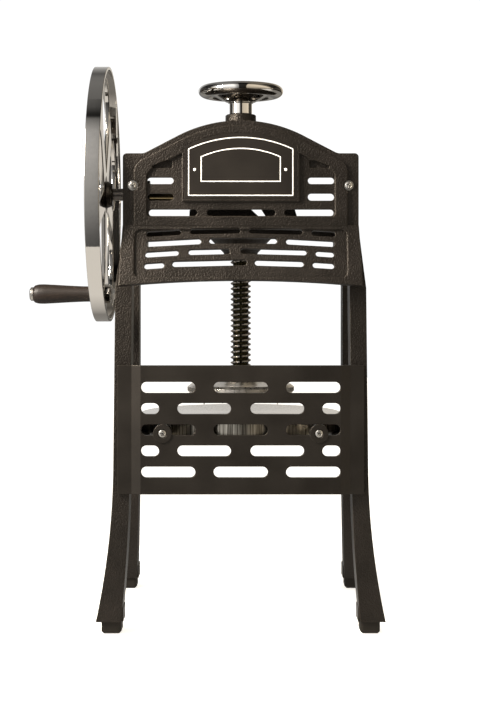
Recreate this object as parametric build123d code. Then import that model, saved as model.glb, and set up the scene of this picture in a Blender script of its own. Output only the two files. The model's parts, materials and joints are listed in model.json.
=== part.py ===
from build123d import *
import os
from math import asin, atan, atan2, cos, degrees, hypot, pi, radians, sin, sqrt, tan

# Hand cranked ice shaver. X to the right, Y to the back, Z up, millimetres.
# The sub-parts are laid out round the spindle, which stands at X = 0, Y = 0, and are
# moved at the end so that the origin lies on the table under the middle of the machine.

# Clearances
running_gap = 0.08       # radial, shaft in bush
screw_gap = 0.1          # radial, fastener in its hole
side_gap = 0.3           # between faces that move past each other
seat_gap = 0.15          # between stacked pieces that only just touch

# Frame: overall places
frame_depth = 160.0      # front face to back face of the side frames
head_half_width = 89.6
shoulder_z = 364.5
break_z = 309.3          # line between the arched face and the skirt
arch_top_z = 389.5
crown_half_width = 50.0  # the crown is an arc, the flanks beside it are straight
crown_edge_z = 376.7
flank_foot_x = 73.5
shoulder_blend = 8.0
shoulder_corner = 3.0

# Side frames
wall_thickness = 7.6
post_width = 13.8
post_depth = 20.0
wall_bottom_z = 296.0
leg_depth = 24.0
leg_bottom_z = 9.2
knee_z = 125.0           # below this the leg sweeps outwards
hip_z = 262.0
leg_outer_hip = 95.7
leg_outer_knee = 97.2
leg_outer_foot = 109.8
front_leg_inner_hip = 83.0
front_leg_inner_knee = 84.6
front_leg_inner_foot = 90.6
back_leg_inner_knee = 86.9
back_leg_inner_foot = 90.2
front_leg_splay = 8.0    # how far the front feet stand forward of their legs
back_leg_splay = 24.0    # how far the back feet stand behind theirs
arch_corner = 26.0       # corner radius of the openings in the side frames
rail_bottom_z = 133.0
rail_height = 30.0
table_ledge_reach = 10.0
table_ledge_height = 8.0
table_ledge_length = 70.0
bridge_ledge_reach = 5.6
bridge_ledge_height = 7.0
ankle_boss_height = 10.8
ankle_boss_reach = 1.7

# Front panels
panel_thickness = 4.0
border_height = 2.0
border_outer_inset = 8.8
border_inner_inset = 17.9
border_bottom_height = 7.0
border_top_inset = 4.0
border_outer_corner = 10.0
border_inner_corner = 8.0
pad_half_width = 44.4
pad_bottom_z = 328.0
skirt_drop = 45.6        # break line to the ends of the lower edge
skirt_rise = 4.5         # how much the lower edge arches up in the middle
skirt_lean = 9.0         # how far the lower edge stands forward
skirt_half_width = 92.4
skirt_thickness = 4.0
rib_height = 1.6
rib_width = 9.0

# Slots of the head: place above the table, height, and left and right ends
head_slot_rows = [
    (319.3, 4.9, [(-69.9, -33.0), (-25.7, 26.4), (33.1, 70.6)]),
    (331.2, 5.4, [(-71.0, -51.0), (51.0, 71.0)]),
    (343.6, 5.0, [(-71.0, -51.0), (51.0, 71.0)]),
]
eye_slot_z = 353.2
eye_slot_height = 6.0
eye_slot_inner = 52.0
eye_slot_outer = 71.5
eye_slot_depth = 2.5
skirt_slot_rows = [
    (305.5, 4.2, [(-71.7, -45.1), (-38.4, -0.2), (6.4, 47.0), (53.7, 71.8)]),
    (297.9, 4.4, [(-71.7, -29.9), (-23.9, 27.6), (34.3, 71.2)]),
    (289.9, 4.2, [(-72.4, -46.9), (-39.6, -8.1), (-0.2, 50.0), (56.7, 70.7)]),
    (281.2, 4.4, [(-73.0, -57.8), (-51.8, 4.6), (10.6, 47.7), (54.3, 70.7)]),
]

# Nameplate
plate_half_width = 42.6
plate_bottom_z = 330.0
plate_top_z = 379.6
plate_shoulder_z = 369.5
plate_thickness = 1.2

# Lower front panel
lower_panel_bottom_z = 105.6
lower_panel_height = 97.8
lower_panel_half_width = 93.8
lower_panel_wing = 83.0
lower_panel_middle = 76.0
lower_panel_step = 2.4
lower_slot_height = 8.4
lower_slot_pitch = 16.05
lower_slot_bottom_z = 122.5
wide_row = [(-75.6, -34.4), (-20.6, 20.6), (34.4, 75.6)]
offset_row = [(-75.6, -61.9), (-48.1, -7.4), (7.4, 48.1), (61.9, 75.6)]
panel_boss_x = 59.4
panel_boss_z = 151.8
panel_boss_radius = 7.0
panel_boss_proud = 0.8

# Fasteners
small_screw_radius = 1.6
small_head_radius = 2.8
small_head_height = 1.6
head_screw_x = 82.0
head_screw_z = 340.0
head_screw_length = 14.0
head_washer_radius = 3.75
head_washer_thickness = 0.6
panel_screw_length = 14.0

# Roof and boss
roof_thickness = 5.0
roof_back_inset = 8.0
roof_shoe_height = 10.0
roof_screw_rise = 3.0
roof_shoe_reach = 8.0
roof_shoe_length = 100.0
boss_top_z = 403.0
boss_radius = 12.5
boss_foot_radius = 19.0
boss_foot_height = 7.0
flange_radius = 22.0
flange_bottom_z = 368.0

# Crank shaft and its bearings
shaft_z = 338.0
shaft_radius = 5.0
bush_wall = 2.0
bush_flange_radius = 9.5
bush_flange_thickness = 1.4
bush_length = 39.0
bearing_boss_radius = 11.5
bearing_boss_reach = 8.0
shaft_end_x = 15.4       # inner end, to the left of the spindle
yoke_bearing_length = 8.8
yoke_bearing_radius = 10.0

# Bevel gears
gear_module = 2.0
pinion_teeth = 12
gear_teeth = 36
face_width = 11.0
pressure_angle = 20.0
tooth_backlash = 0.22
addendum_factor = 0.92
dedendum_factor = 1.28
pinion_hub_radius = 9.0
pinion_hub_length = 9.5
pinion_pin_radius = 1.5
gear_hub_radius = 14.0
gear_hub_bottom_z = 333.0
gear_back = 6.5          # back of the gear above its pitch circle
gear_web_thickness = 4.0

# Flywheel
wheel_radius = 103.4
rim_left_x = 117.2
rim_width = 11.3
rim_thickness = 2.6
rim_edge = 0.6
web_thickness = 4.0
wheel_hub_radius = 10.0
wheel_hub_inner_x = 104.3
wheel_openings = 5
opening_radius = 29.5
opening_centre = 65.0
opening_tip = 21.0
opening_tip_radius = 3.0
wheel_nut_radius = 8.0
wheel_nut_length = 6.0
thread_end = 1.0

# Grip
grip_rim_distance = 22.4
grip_bolt_radius = 3.0
grip_boss_radius = 7.5
grip_inner_x = 118.4
grip_length = 50.4
grip_small_radius = 6.3
grip_large_radius = 8.0
grip_neck_radius = 5.6
grip_cap_radius = 5.6
grip_cap_length = 3.0
grip_nut_radius = 4.8
grip_nut_length = 4.0

# Feed screw, handwheel and clamp disc
screw_radius = 8.3
screw_bottom_z = 178.5
keyway_width = 5.0
keyway_depth = 2.2
keyway_bottom_z = 199.0
keyway_top_z = 368.0
key_side_gap = 0.1
key_length = 27.0
sleeve_wall = 1.9
sleeve_bottom_z = 330.0
collar_radius = 15.0
collar_thickness = 2.4
thrust_washer_thickness = 1.5
retainer_lip = 3.4
retainer_screw_count = 3
handwheel_radius = 34.6
handwheel_ring_half_width = 6.2
handwheel_ring_height = 10.0
handwheel_ring_sides = 12
handwheel_top_z = 427.0
handwheel_neck_radius = 9.2
handwheel_neck_length = 9.6
handwheel_hub_radius = 11.5
handwheel_dish = 3.2
handwheel_openings = 4
cap_radius = 8.0
cap_height = 2.4
disc_radius = 43.5
disc_bottom_z = 177.0
disc_thickness = 8.0
disc_hub_radius = 13.5
disc_hub_height = 12.0
disc_pin_radius = 1.5
spike_length = 8.5
spike_radius = 2.6
spike_tip_radius = 0.35
spike_sides = 8
spike_rings = [(34.0, 6), (17.0, 3)]

# Gear bridge, feed nut and shaft yoke
bridge_bottom_z = 302.0
bridge_thickness = 9.5
bridge_half_depth = 17.0
hub_top_radius = 25.0
hub_waist_radius = 14.0
hub_bottom_z = 285.5
hub_waist_z = 290.5
nut_wall = 2.3
nut_bottom_z = 293.4
yoke_plate_thickness = 4.0
yoke_left_x = 42.0
yoke_right_x = 48.0
yoke_front_y = 18.0
yoke_back_y = 14.0
yoke_web_thickness = 5.0
web_foot_x = 20.0        # right end of the web on its foot
web_bend_x = 5.3         # and where it meets the slope up to the bearing
web_bend_z = 328.0
web_left_rise = 9.0
horn_base_x = 23.5
horn_tip_left_x = 13.5
horn_tip_right_x = 42.0
horn_height = 14.5

# Blade table
table_radius = 82.0
table_top_z = 161.0
table_thickness = 14.0
table_edge = 1.5
lug_radius = 6.0
blade_inner_r = 6.0
blade_length = 42.0
blade_angle = 28.0
blade_width = 17.0
blade_thickness = 1.4
blade_proud = 0.3
throat_width = 6.0
holder_thickness = 5.0
pocket_margin = 2.0
blade_screw_inset = 9.0

# Feet
foot_width = 15.2
foot_depth = 20.0
foot_rounding = 2.4
foot_edge = 1.6
foot_screw_radius = 2.0
foot_screw_head_radius = 3.6
foot_screw_head_height = 2.4
foot_screw_bite = 14.0

# Places worked out from the sizes above
front_y = -frame_depth / 2
back_y = frame_depth / 2
wall_inner = head_half_width - wall_thickness
panel_front_y = front_y - panel_thickness
border_front_y = panel_front_y - border_height
border_outer = head_half_width - border_outer_inset
border_inner = head_half_width - border_inner_inset
flank_slope = atan2(crown_edge_z - shoulder_z, flank_foot_x - crown_half_width)
pinion_pitch_radius = gear_module * pinion_teeth / 2
gear_pitch_radius = gear_module * gear_teeth / 2
cone_distance = hypot(pinion_pitch_radius, gear_pitch_radius)
crank_radius = wheel_radius - grip_rim_distance
crank_z = shaft_z - crank_radius
post_top_z = shoulder_z - roof_shoe_height
wheel_web_x = rim_left_x - rim_width / 2
grip_outer_x = grip_inner_x + grip_length
left_reach = grip_outer_x + grip_cap_length
frame_shift = (left_reach - leg_outer_foot) / 2
table_bottom_z = table_top_z - table_thickness
bridge_top_z = bridge_bottom_z + bridge_thickness
sleeve_radius = screw_radius + running_gap + sleeve_wall
nut_radius = screw_radius + running_gap + nut_wall
collar_top_z = flange_bottom_z - thrust_washer_thickness - 2 * seat_gap
collar_bottom_z = collar_top_z - collar_thickness
disc_top_z = disc_bottom_z + disc_thickness
foot_centre_x = (front_leg_inner_foot + leg_outer_foot - 4) / 2
front_foot_y = front_y + leg_depth / 2 - front_leg_splay
back_foot_y = back_y - leg_depth / 2 + back_leg_splay


# Basic forms

def across_x(sketch, left, right):
    return extrude(Plane.YZ.offset(left) * sketch, amount=right - left, dir=(1, 0, 0))


def across_y(sketch, front, back):
    return extrude(Plane.XZ.offset(-front) * sketch, amount=back - front, dir=(0, 1, 0))


def across_z(sketch, bottom, top):
    return extrude(Plane.XY.offset(bottom) * sketch, amount=top - bottom, dir=(0, 0, 1))


def block(x0, x1, y0, y1, z0, z1):
    return Pos((x0 + x1) / 2, (y0 + y1) / 2, (z0 + z1) / 2) * Box(x1 - x0, y1 - y0, z1 - z0)


def upright(radius, bottom, top, x=0.0, y=0.0):
    return Pos(x, y, (bottom + top) / 2) * Cylinder(radius, top - bottom)


def rod_x(radius, left, right, y=0.0, z=0.0):
    return Pos((left + right) / 2, y, z) * Rot(0, 90, 0) * Cylinder(radius, right - left)


def rod_y(radius, front, back, x=0.0, z=0.0):
    return Pos(x, (front + back) / 2, z) * Rot(90, 0, 0) * Cylinder(radius, back - front)


def turned(points):
    """Solid of revolution about the spindle from (radius, height) corners."""
    return revolve(Plane.XZ * Polygon(*points, align=None), Axis.Z)


def turned_x(points, axis_z):
    """Solid of revolution about a line along X from (x, radius) corners."""
    profile = Pos(0, 0, axis_z) * (Plane.XZ * Polygon(*points, align=None))
    return revolve(profile, Axis((0, 0, axis_z), (1, 0, 0)))


def both_sides(part):
    return [part, mirror(part, about=Plane.YZ)]


def ring_places(radius, count, start=0.0):
    angles = [radians(start + 360 / count * i) for i in range(count)]
    return [(radius * cos(a), radius * sin(a)) for a in angles]


# Fastener places, shared by the holes and the screws

head_screw_places = [(side * head_screw_x, head_screw_z) for side in (-1, 1)]
panel_screw_places = [(side * panel_boss_x, panel_boss_z) for side in (-1, 1)]
table_screw_x = wall_inner - table_ledge_reach / 2 - 0.6
table_screw_places = [(sx * table_screw_x, sy * 14) for sx in (-1, 1) for sy in (-1, 1)]
bridge_screw_x = wall_inner - bridge_ledge_reach / 2
bridge_screw_places = [(sx * bridge_screw_x, sy * 10) for sx in (-1, 1) for sy in (-1, 1)]
yoke_screw_places = [(-yoke_left_x + 5, 4), (yoke_right_x - 6, 4), (18, 10)]
roof_screw_z = shoulder_z - roof_shoe_height + roof_screw_rise
roof_screw_ys = [-50.0, 5.0]
retainer_screw_ring = (collar_radius + flange_radius) / 2 + 0.3
retainer_screw_places = ring_places(retainer_screw_ring, retainer_screw_count, 90)
foot_places = [(side * foot_centre_x, y) for side in (-1, 1) for y in (front_foot_y, back_foot_y)]


def screw_down(x, y, seat_z, length, radius=small_screw_radius):
    """Screw with its head standing on seat_z and its shank below."""
    head = upright(small_head_radius, seat_z, seat_z + small_head_height, x, y)
    return upright(radius, seat_z - length, seat_z, x, y) + head


# Side frames

def leg_profile(inner_hip, inner_knee, inner_foot):
    """Front view of a sabre leg on the right side, from the head wall to the foot."""
    outer_line = Polyline((head_half_width, shoulder_z), (head_half_width, break_z),
                          (leg_outer_hip, hip_z), (leg_outer_knee, knee_z))
    outer_calf = TangentArc(
        (leg_outer_knee, knee_z), (leg_outer_foot, leg_bottom_z),
        tangent=(leg_outer_knee - leg_outer_hip, knee_z - hip_z))
    sole = Line((leg_outer_foot, leg_bottom_z), (inner_foot, leg_bottom_z))
    inner_slope = (inner_knee - inner_hip, knee_z - hip_z)
    inner_calf = TangentArc((inner_knee, knee_z), (inner_foot, leg_bottom_z), tangent=inner_slope)
    inner_line = Line((inner_knee, knee_z), (inner_hip, hip_z))
    inner_top = Line((inner_hip, hip_z), (inner_hip, shoulder_z))
    top = Line((inner_hip, shoulder_z), (head_half_width, shoulder_z))
    return make_face([outer_line, outer_calf, sole, inner_calf, inner_line, inner_top, top])


def calf_side(inner_y, outer_y, splay):
    """Side view of a leg below the arch, swept by splay towards its foot."""
    top = rail_bottom_z - arch_corner
    outer = TangentArc((outer_y, top), (outer_y + splay, leg_bottom_z), tangent=(0, -1))
    inner = TangentArc((inner_y, top), (inner_y + splay, leg_bottom_z), tangent=(0, -1))
    sole = Line((outer_y + splay, leg_bottom_z), (inner_y + splay, leg_bottom_z))
    return make_face([outer, sole, inner, Line((inner_y, top), (outer_y, top))])


def side_silhouette():
    """Side view of a frame: head wall, two legs, a rail, and the openings between them."""
    opening_width = frame_depth - 2 * leg_depth
    rail_top_z = rail_bottom_z + rail_height
    upper_height = wall_bottom_z - rail_top_z
    arch_z = rail_bottom_z - arch_corner
    whole = Pos(0, (arch_z + shoulder_z) / 2) * Rectangle(frame_depth, shoulder_z - arch_z)
    whole = fillet(whole.vertices().group_by(Axis.Y)[-1], arch_corner / 4)
    upper = Pos(0, rail_top_z + upper_height / 2) * RectangleRounded(
        opening_width, upper_height, arch_corner)
    lower = Pos(0, rail_bottom_z / 2 - arch_corner) * RectangleRounded(
        opening_width, rail_bottom_z + 2 * arch_corner, arch_corner)
    front_calf = calf_side(front_y + leg_depth, front_y, -front_leg_splay)
    back_calf = calf_side(back_y - leg_depth, back_y, back_leg_splay)
    return whole - upper - lower + front_calf + back_calf


def side_frame(has_bearing):
    front_leg = across_y(
        leg_profile(front_leg_inner_hip, front_leg_inner_knee, front_leg_inner_foot),
        front_y - front_leg_splay, 0)
    back_leg = across_y(
        leg_profile(back_leg_inner_knee, back_leg_inner_knee, back_leg_inner_foot),
        0, back_y + back_leg_splay)
    wall = block(wall_inner, head_half_width, front_y, back_y, wall_bottom_z, shoulder_z)
    frame = (front_leg + back_leg + wall) & across_x(
        side_silhouette(), wall_inner - 1, leg_outer_foot + 1)
    post = block(head_half_width - post_width, wall_inner + 1, front_y, front_y + post_depth,
                 wall_bottom_z, post_top_z)
    ledge = block(wall_inner - table_ledge_reach, leg_outer_knee - 4, -table_ledge_length / 2,
                  table_ledge_length / 2, table_bottom_z - table_ledge_height, table_bottom_z)
    bracket = block(wall_inner - bridge_ledge_reach, wall_inner + 1, -bridge_half_depth - 2,
                    bridge_half_depth + 2, bridge_bottom_z - bridge_ledge_height, bridge_bottom_z)
    frame += post + ledge + bracket
    for heel in (front_foot_y, back_foot_y):
        frame += block(front_leg_inner_foot - ankle_boss_reach, front_leg_inner_foot + 3,
                       heel - foot_depth / 2, heel + foot_depth / 2,
                       leg_bottom_z, leg_bottom_z + ankle_boss_height)
        frame -= upright(foot_screw_radius + screw_gap, leg_bottom_z - 1,
                         leg_bottom_z + foot_screw_bite + 0.5, foot_centre_x, heel)
    frame -= rod_y(small_screw_radius + screw_gap, front_y - 1,
                   front_y + head_screw_length - panel_thickness, head_screw_x, head_screw_z)
    for x, y in table_screw_places:
        frame -= upright(small_screw_radius + screw_gap, table_bottom_z - table_ledge_height - 1,
                         table_bottom_z + 1, x, y)
    for x, y in bridge_screw_places:
        frame -= upright(small_screw_radius + screw_gap, bridge_bottom_z - bridge_ledge_height + 1,
                         bridge_bottom_z + 1, x, y)
    for y in roof_screw_ys:
        frame -= rod_x(small_screw_radius + screw_gap, wall_inner - 1,
                       wall_inner + wall_thickness - 2, y, roof_screw_z)
    if has_bearing:
        frame += rod_x(bearing_boss_radius, wall_inner - bearing_boss_reach, wall_inner + 1,
                       0, shaft_z)
        frame -= rod_x(shaft_radius + bush_wall, wall_inner - bearing_boss_reach - 1,
                       head_half_width + 1, 0, shaft_z)
    return frame


# Head

def head_outline(bottom_z=break_z, inset=0.0):
    """Outline of the head above bottom_z, with crown, flanks and shoulders, drawn in by inset."""
    half = head_half_width
    sides = Polyline(
        (-crown_half_width, crown_edge_z), (-flank_foot_x, shoulder_z), (-half, shoulder_z),
        (-half, bottom_z), (half, bottom_z), (half, shoulder_z), (flank_foot_x, shoulder_z),
        (crown_half_width, crown_edge_z))
    crown = ThreePointArc((crown_half_width, crown_edge_z), (0, arch_top_z),
                          (-crown_half_width, crown_edge_z))
    outline = make_face([sides, crown])
    shoulders = [v for v in outline.vertices() if abs(v.Y - shoulder_z) < 0.01]
    outline = fillet([v for v in shoulders if abs(v.X) < half - 1], shoulder_blend)
    outline = fillet([v for v in outline.vertices()
                      if abs(v.X) > half - 0.01 and v.Y > shoulder_z - 0.01], shoulder_corner)
    if inset:
        outline = offset(outline, -inset, kind=Kind.INTERSECTION)
    return outline


def slot(left, right, z, height):
    return Pos((left + right) / 2, z) * SlotOverall(right - left, height)


def arched_area(half_width, bottom_z, inset, corner):
    """Area under the crown and the flanks, drawn in by inset, with straight sides."""
    edge_x = crown_half_width - inset * sin(flank_slope)
    edge_z = crown_edge_z - inset * cos(flank_slope)
    side_z = edge_z - (half_width - edge_x) * tan(flank_slope)
    sides = Polyline((-edge_x, edge_z), (-half_width, side_z), (-half_width, bottom_z),
                     (half_width, bottom_z), (half_width, side_z), (edge_x, edge_z))
    crown = ThreePointArc((edge_x, edge_z), (0, arch_top_z - inset), (-edge_x, edge_z))
    area = make_face([sides, crown])
    return fillet([v for v in area.vertices() if abs(v.Y - side_z) < 0.01], corner)


def border_ring():
    """Raised border of the head, whose outer and inner lines both follow the arch."""
    outer = arched_area(border_outer, break_z, border_top_inset, border_outer_corner)
    inner = arched_area(border_inner, break_z + border_bottom_height,
                        border_top_inset + border_inner_inset - border_outer_inset,
                        border_inner_corner)
    inner = fillet(inner.vertices().group_by(Axis.Y)[0], 3)
    return outer - inner


def plate_face(margin=0.0):
    """Nameplate outline: straight sides and an arched top."""
    half = plate_half_width - margin
    bottom = plate_bottom_z + margin
    shoulder = plate_shoulder_z - margin * 0.4
    top = plate_top_z - margin
    sides = Polyline((-half, shoulder), (-half, bottom), (half, bottom), (half, shoulder))
    return make_face([sides, ThreePointArc((half, shoulder), (0, top), (-half, shoulder))])


def plate_pad():
    """Raised pad round the nameplate, inside the border of the head."""
    pad = Pos(0, (pad_bottom_z + arch_top_z) / 2) * Rectangle(
        2 * pad_half_width, arch_top_z - pad_bottom_z)
    return pad & head_outline(break_z, border_top_inset)


def eye_slot():
    """Slanted upper slot on the right: flat below, rising towards the middle."""
    low = eye_slot_z
    points = [(eye_slot_outer, low), (eye_slot_inner, low),
              (eye_slot_inner, low + eye_slot_height),
              (eye_slot_inner + 4, low + eye_slot_height)]
    return fillet(Polygon(*points, align=None).vertices(), 0.9)


def skirt_plane():
    """Plane on the front of the skirt: local Y runs down its slope from the break line."""
    lean = atan2(skirt_lean, skirt_drop)
    return Plane(origin=(0, panel_front_y, break_z), x_dir=(1, 0, 0),
                 z_dir=(0, -cos(lean), sin(lean)))


def skirt_edge_radius():
    return (skirt_half_width ** 2 + skirt_rise ** 2) / (2 * skirt_rise)


def skirt_slots():
    """Slots of the skirt, on rows that arch as the lower edge does."""
    stretch = hypot(skirt_lean, skirt_drop) / skirt_drop
    bend = skirt_edge_radius()
    slots = []
    for z, height, ends in skirt_slot_rows:
        for left, right in ends:
            x = (left + right) / 2
            y = (z - break_z - x * x / (2 * bend)) * stretch
            place = Pos(x, y) * Rot(0, 0, -degrees(asin(x / bend)))
            slots.append(place * SlotOverall(right - left, height * stretch))
    return slots


def skirt():
    """Slotted skirt, leaning forward from the break line, with an arched lower edge."""
    slope = hypot(skirt_lean, skirt_drop)
    foot = -slope
    corners = Polyline((-skirt_half_width, foot), (-head_half_width, 0), (head_half_width, 0),
                       (skirt_half_width, foot))
    edge = ThreePointArc((skirt_half_width, foot), (0, foot + skirt_rise), (-skirt_half_width, foot))
    sheet = make_face([corners, edge])
    for opening in skirt_slots():
        sheet -= opening
    plane = skirt_plane()
    body = extrude(plane * sheet, amount=-skirt_thickness)
    field = Pos(0, foot / 2 + 1.5) * RectangleRounded(
        2 * border_outer, slope - rib_width, 5)
    rim = (sheet - field) & (Pos(0, foot / 2) * Rectangle(2 * head_half_width + 4, slope))
    return body + extrude(plane * rim, amount=rib_height)


def head_front_panel():
    face = head_outline()
    body = across_y(face, panel_front_y, front_y)
    body += across_y(border_ring(), border_front_y, panel_front_y)
    body += across_y(plate_pad(), border_front_y, panel_front_y)
    body += skirt()
    fill_back = block(-head_half_width, head_half_width, panel_front_y, front_y,
                      break_z - 2.5, break_z + 1)
    body += fill_back
    for z, height, ends in head_slot_rows:
        for left, right in ends:
            body -= across_y(slot(left, right, z, height), border_front_y - 1, front_y + 1)
    eye = across_y(eye_slot(), border_front_y - 1, panel_front_y + eye_slot_depth)
    for piece in both_sides(eye):
        body -= piece
    body -= across_y(plate_face(-0.1), border_front_y - 1, border_front_y + plate_thickness)
    for x, z in head_screw_places:
        body -= rod_y(small_screw_radius + screw_gap, panel_front_y - 1, front_y + 1, x, z)
        body -= rod_y(head_washer_radius + side_gap, border_front_y - 1, panel_front_y, x, z)
    return body


def nameplate():
    return across_y(plate_face(), border_front_y - 0.2, border_front_y + plate_thickness)


def head_roof():
    """Arched roof with the spindle boss above and the gear flange below."""
    span = Pos(0, shoulder_z) * Rectangle(2 * wall_inner, 2 * head_half_width)
    outer = head_outline(shoulder_z - roof_shoe_height) & span
    room = Pos(0, -roof_thickness) * head_outline(shoulder_z - roof_shoe_height - 8)
    between_shoes = Pos(0, shoulder_z) * Rectangle(
        2 * (wall_inner - roof_shoe_reach), 2 * head_half_width)
    roof = across_y(outer - room, front_y, back_y - roof_back_inset)
    roof += across_y(outer - (room & between_shoes), front_y, front_y + roof_shoe_length)
    boss_base_z = arch_top_z - 1
    boss = turned([(0, flange_bottom_z), (flange_radius, flange_bottom_z),
                   (flange_radius, arch_top_z - roof_thickness + 1),
                   (boss_foot_radius, boss_base_z - 1), (boss_foot_radius, boss_base_z),
                   (boss_radius + 1.5, boss_base_z + boss_foot_height / 2),
                   (boss_radius, boss_base_z + boss_foot_height),
                   (boss_radius, boss_top_z - 0.8), (boss_radius - 0.8, boss_top_z),
                   (0, boss_top_z)])
    roof += boss
    roof -= upright(sleeve_radius + running_gap, flange_bottom_z - 1, boss_top_z + 1)
    for x, y in retainer_screw_places:
        roof -= upright(small_screw_radius + screw_gap, flange_bottom_z - 1,
                        flange_bottom_z + 9, x, y)
    for side in (-1, 1):
        for y in roof_screw_ys:
            inner = wall_inner - roof_shoe_reach
            shank_ends = sorted((side * (inner - 1), side * (wall_inner + 1)))
            head_ends = sorted((side * (inner - 4), side * inner))
            roof -= rod_x(small_screw_radius + screw_gap, *shank_ends, y, roof_screw_z)
            roof -= rod_x(small_head_radius + screw_gap, *head_ends, y, roof_screw_z)
    return roof


# Lower front panel

def lower_rows():
    """Ends and heights of the slot rows, from the bottom up."""
    rows = []
    for i in range(5):
        ends = wide_row if i % 2 == 0 else offset_row
        rows.append((lower_slot_bottom_z + i * lower_slot_pitch, ends))
    return rows


def lower_front_panel():
    """Plate with its middle standing forward of the two wings that lie on the legs."""
    wing_y = front_y - panel_thickness
    middle_y = wing_y - lower_panel_step
    right = [(lower_panel_half_width, front_y), (lower_panel_half_width, wing_y),
             (lower_panel_wing, wing_y), (lower_panel_middle, middle_y)]
    left = [(-x, y) for x, y in reversed(right)]
    back = [(-lower_panel_wing, front_y), (-lower_panel_middle, front_y - lower_panel_step),
            (lower_panel_middle, front_y - lower_panel_step), (lower_panel_wing, front_y)]
    body = across_z(Polygon(*(right + left + back), align=None), lower_panel_bottom_z,
                    lower_panel_bottom_z + lower_panel_height)
    for z, ends in lower_rows():
        for low, high in ends:
            body -= across_y(slot(low, high, z, lower_slot_height), middle_y - 1, front_y + 1)
    for x, z in panel_screw_places:
        body += rod_y(panel_boss_radius, middle_y - panel_boss_proud, front_y, x, z)
        body -= rod_y(small_screw_radius + screw_gap, middle_y - 5, front_y + 1, x, z)
        body -= rod_y(small_head_radius + 0.6, middle_y - 5, middle_y + 0.4, x, z)
    return body


# Blade table

def blade_plane():
    """Plane of the blade's upper face: edge at the slot, sloping down to the right."""
    slope = radians(blade_angle)
    return Plane(origin=(0, 0, table_top_z + blade_proud), x_dir=(cos(slope), 0, -sin(slope)),
                 z_dir=(sin(slope), 0, cos(slope)))


def blade_box(x0, x1, z0, z1, margin=0.0):
    """Box in the blade's tilted plane, along the slot from front to back."""
    middle = blade_inner_r + blade_length / 2
    solid = Pos((x0 + x1) / 2, middle, (z0 + z1) / 2) * Box(
        x1 - x0, blade_length + 2 * margin, z1 - z0)
    return blade_plane().location * solid


def blade_screw_axes():
    return [blade_inner_r + blade_length * share for share in (0.25, 0.75)]


def blade_table():
    top = turned([(0, table_bottom_z), (table_radius - table_edge, table_bottom_z),
                  (table_radius, table_bottom_z + table_edge),
                  (table_radius, table_top_z - table_edge),
                  (table_radius - table_edge, table_top_z), (0, table_top_z)])
    for x, z in panel_screw_places:
        chord_y = -sqrt(table_radius ** 2 - x * x)
        panel_back = front_y
        top += rod_y(lug_radius, panel_back, chord_y + 6, x, z)
        top -= rod_y(small_screw_radius + screw_gap, panel_back - 1,
                     panel_back + panel_screw_length - panel_thickness, x, z)
    throat = block(-throat_width, 0.4, blade_inner_r, blade_inner_r + blade_length,
                   table_bottom_z - 1, table_top_z + 1)
    mouth = blade_box(-0.2, blade_width + 1, -blade_thickness - holder_thickness - 20, 0.1,
                      pocket_margin)
    keep = block(-throat_width, blade_width + 3, 0, 100, table_bottom_z - 1, table_top_z + 1)
    top -= throat
    top -= mouth & keep
    for x, y in table_screw_places:
        top -= upright(small_screw_radius + screw_gap, table_bottom_z - 1, table_bottom_z + 8, x, y)
    return top


def blade():
    """Knife with a ground edge, lying on the holder under the slot."""
    plane = blade_plane()
    profile = Polygon((0, 0), (blade_width, 0), (blade_width, -blade_thickness),
                      (blade_thickness * 2.2, -blade_thickness), align=None)
    side = Plane(origin=plane.origin + Vector(0, blade_inner_r, 0), x_dir=plane.x_dir,
                 z_dir=(0, -1, 0))
    knife = extrude(side * profile, amount=blade_length, dir=(0, 1, 0))
    for y in blade_screw_axes():
        knife -= plane.location * (Pos(blade_screw_inset, y, 0) * Cylinder(
            small_screw_radius + screw_gap, 10))
    return knife


def blade_holder():
    """Wedge under the blade, flush with the underside of the table."""
    body = blade_box(blade_thickness * 2.2 + 1, blade_width, -blade_thickness - 30,
                     -blade_thickness, pocket_margin)
    body = body & block(side_gap, 60, -100, 100, table_bottom_z, table_top_z)
    plane = blade_plane()
    for y in blade_screw_axes():
        body -= plane.location * (Pos(blade_screw_inset, y, -6) * Cylinder(
            small_screw_radius + screw_gap, 12))
    return body


def blade_screws():
    plane = blade_plane()
    length = blade_thickness + holder_thickness
    screws = []
    for y in blade_screw_axes():
        shank = Pos(blade_screw_inset, y, -length / 2) * Cylinder(small_screw_radius, length)
        screws.append(plane.location * shank)
    return screws


# Feed screw and what it carries

def feed_screw():
    """Screw body over its thread, with the long keyway at the front."""
    body = upright(screw_radius, screw_bottom_z, handwheel_top_z - handwheel_ring_height / 2)
    top = keyway_top_z
    groove = block(-keyway_width / 2, keyway_width / 2, -screw_radius - 1,
                   -screw_radius + keyway_depth, keyway_bottom_z, top)
    body -= groove
    body -= rod_x(disc_pin_radius, -30, 30, 0, disc_top_z + disc_hub_height / 2)
    return body


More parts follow.
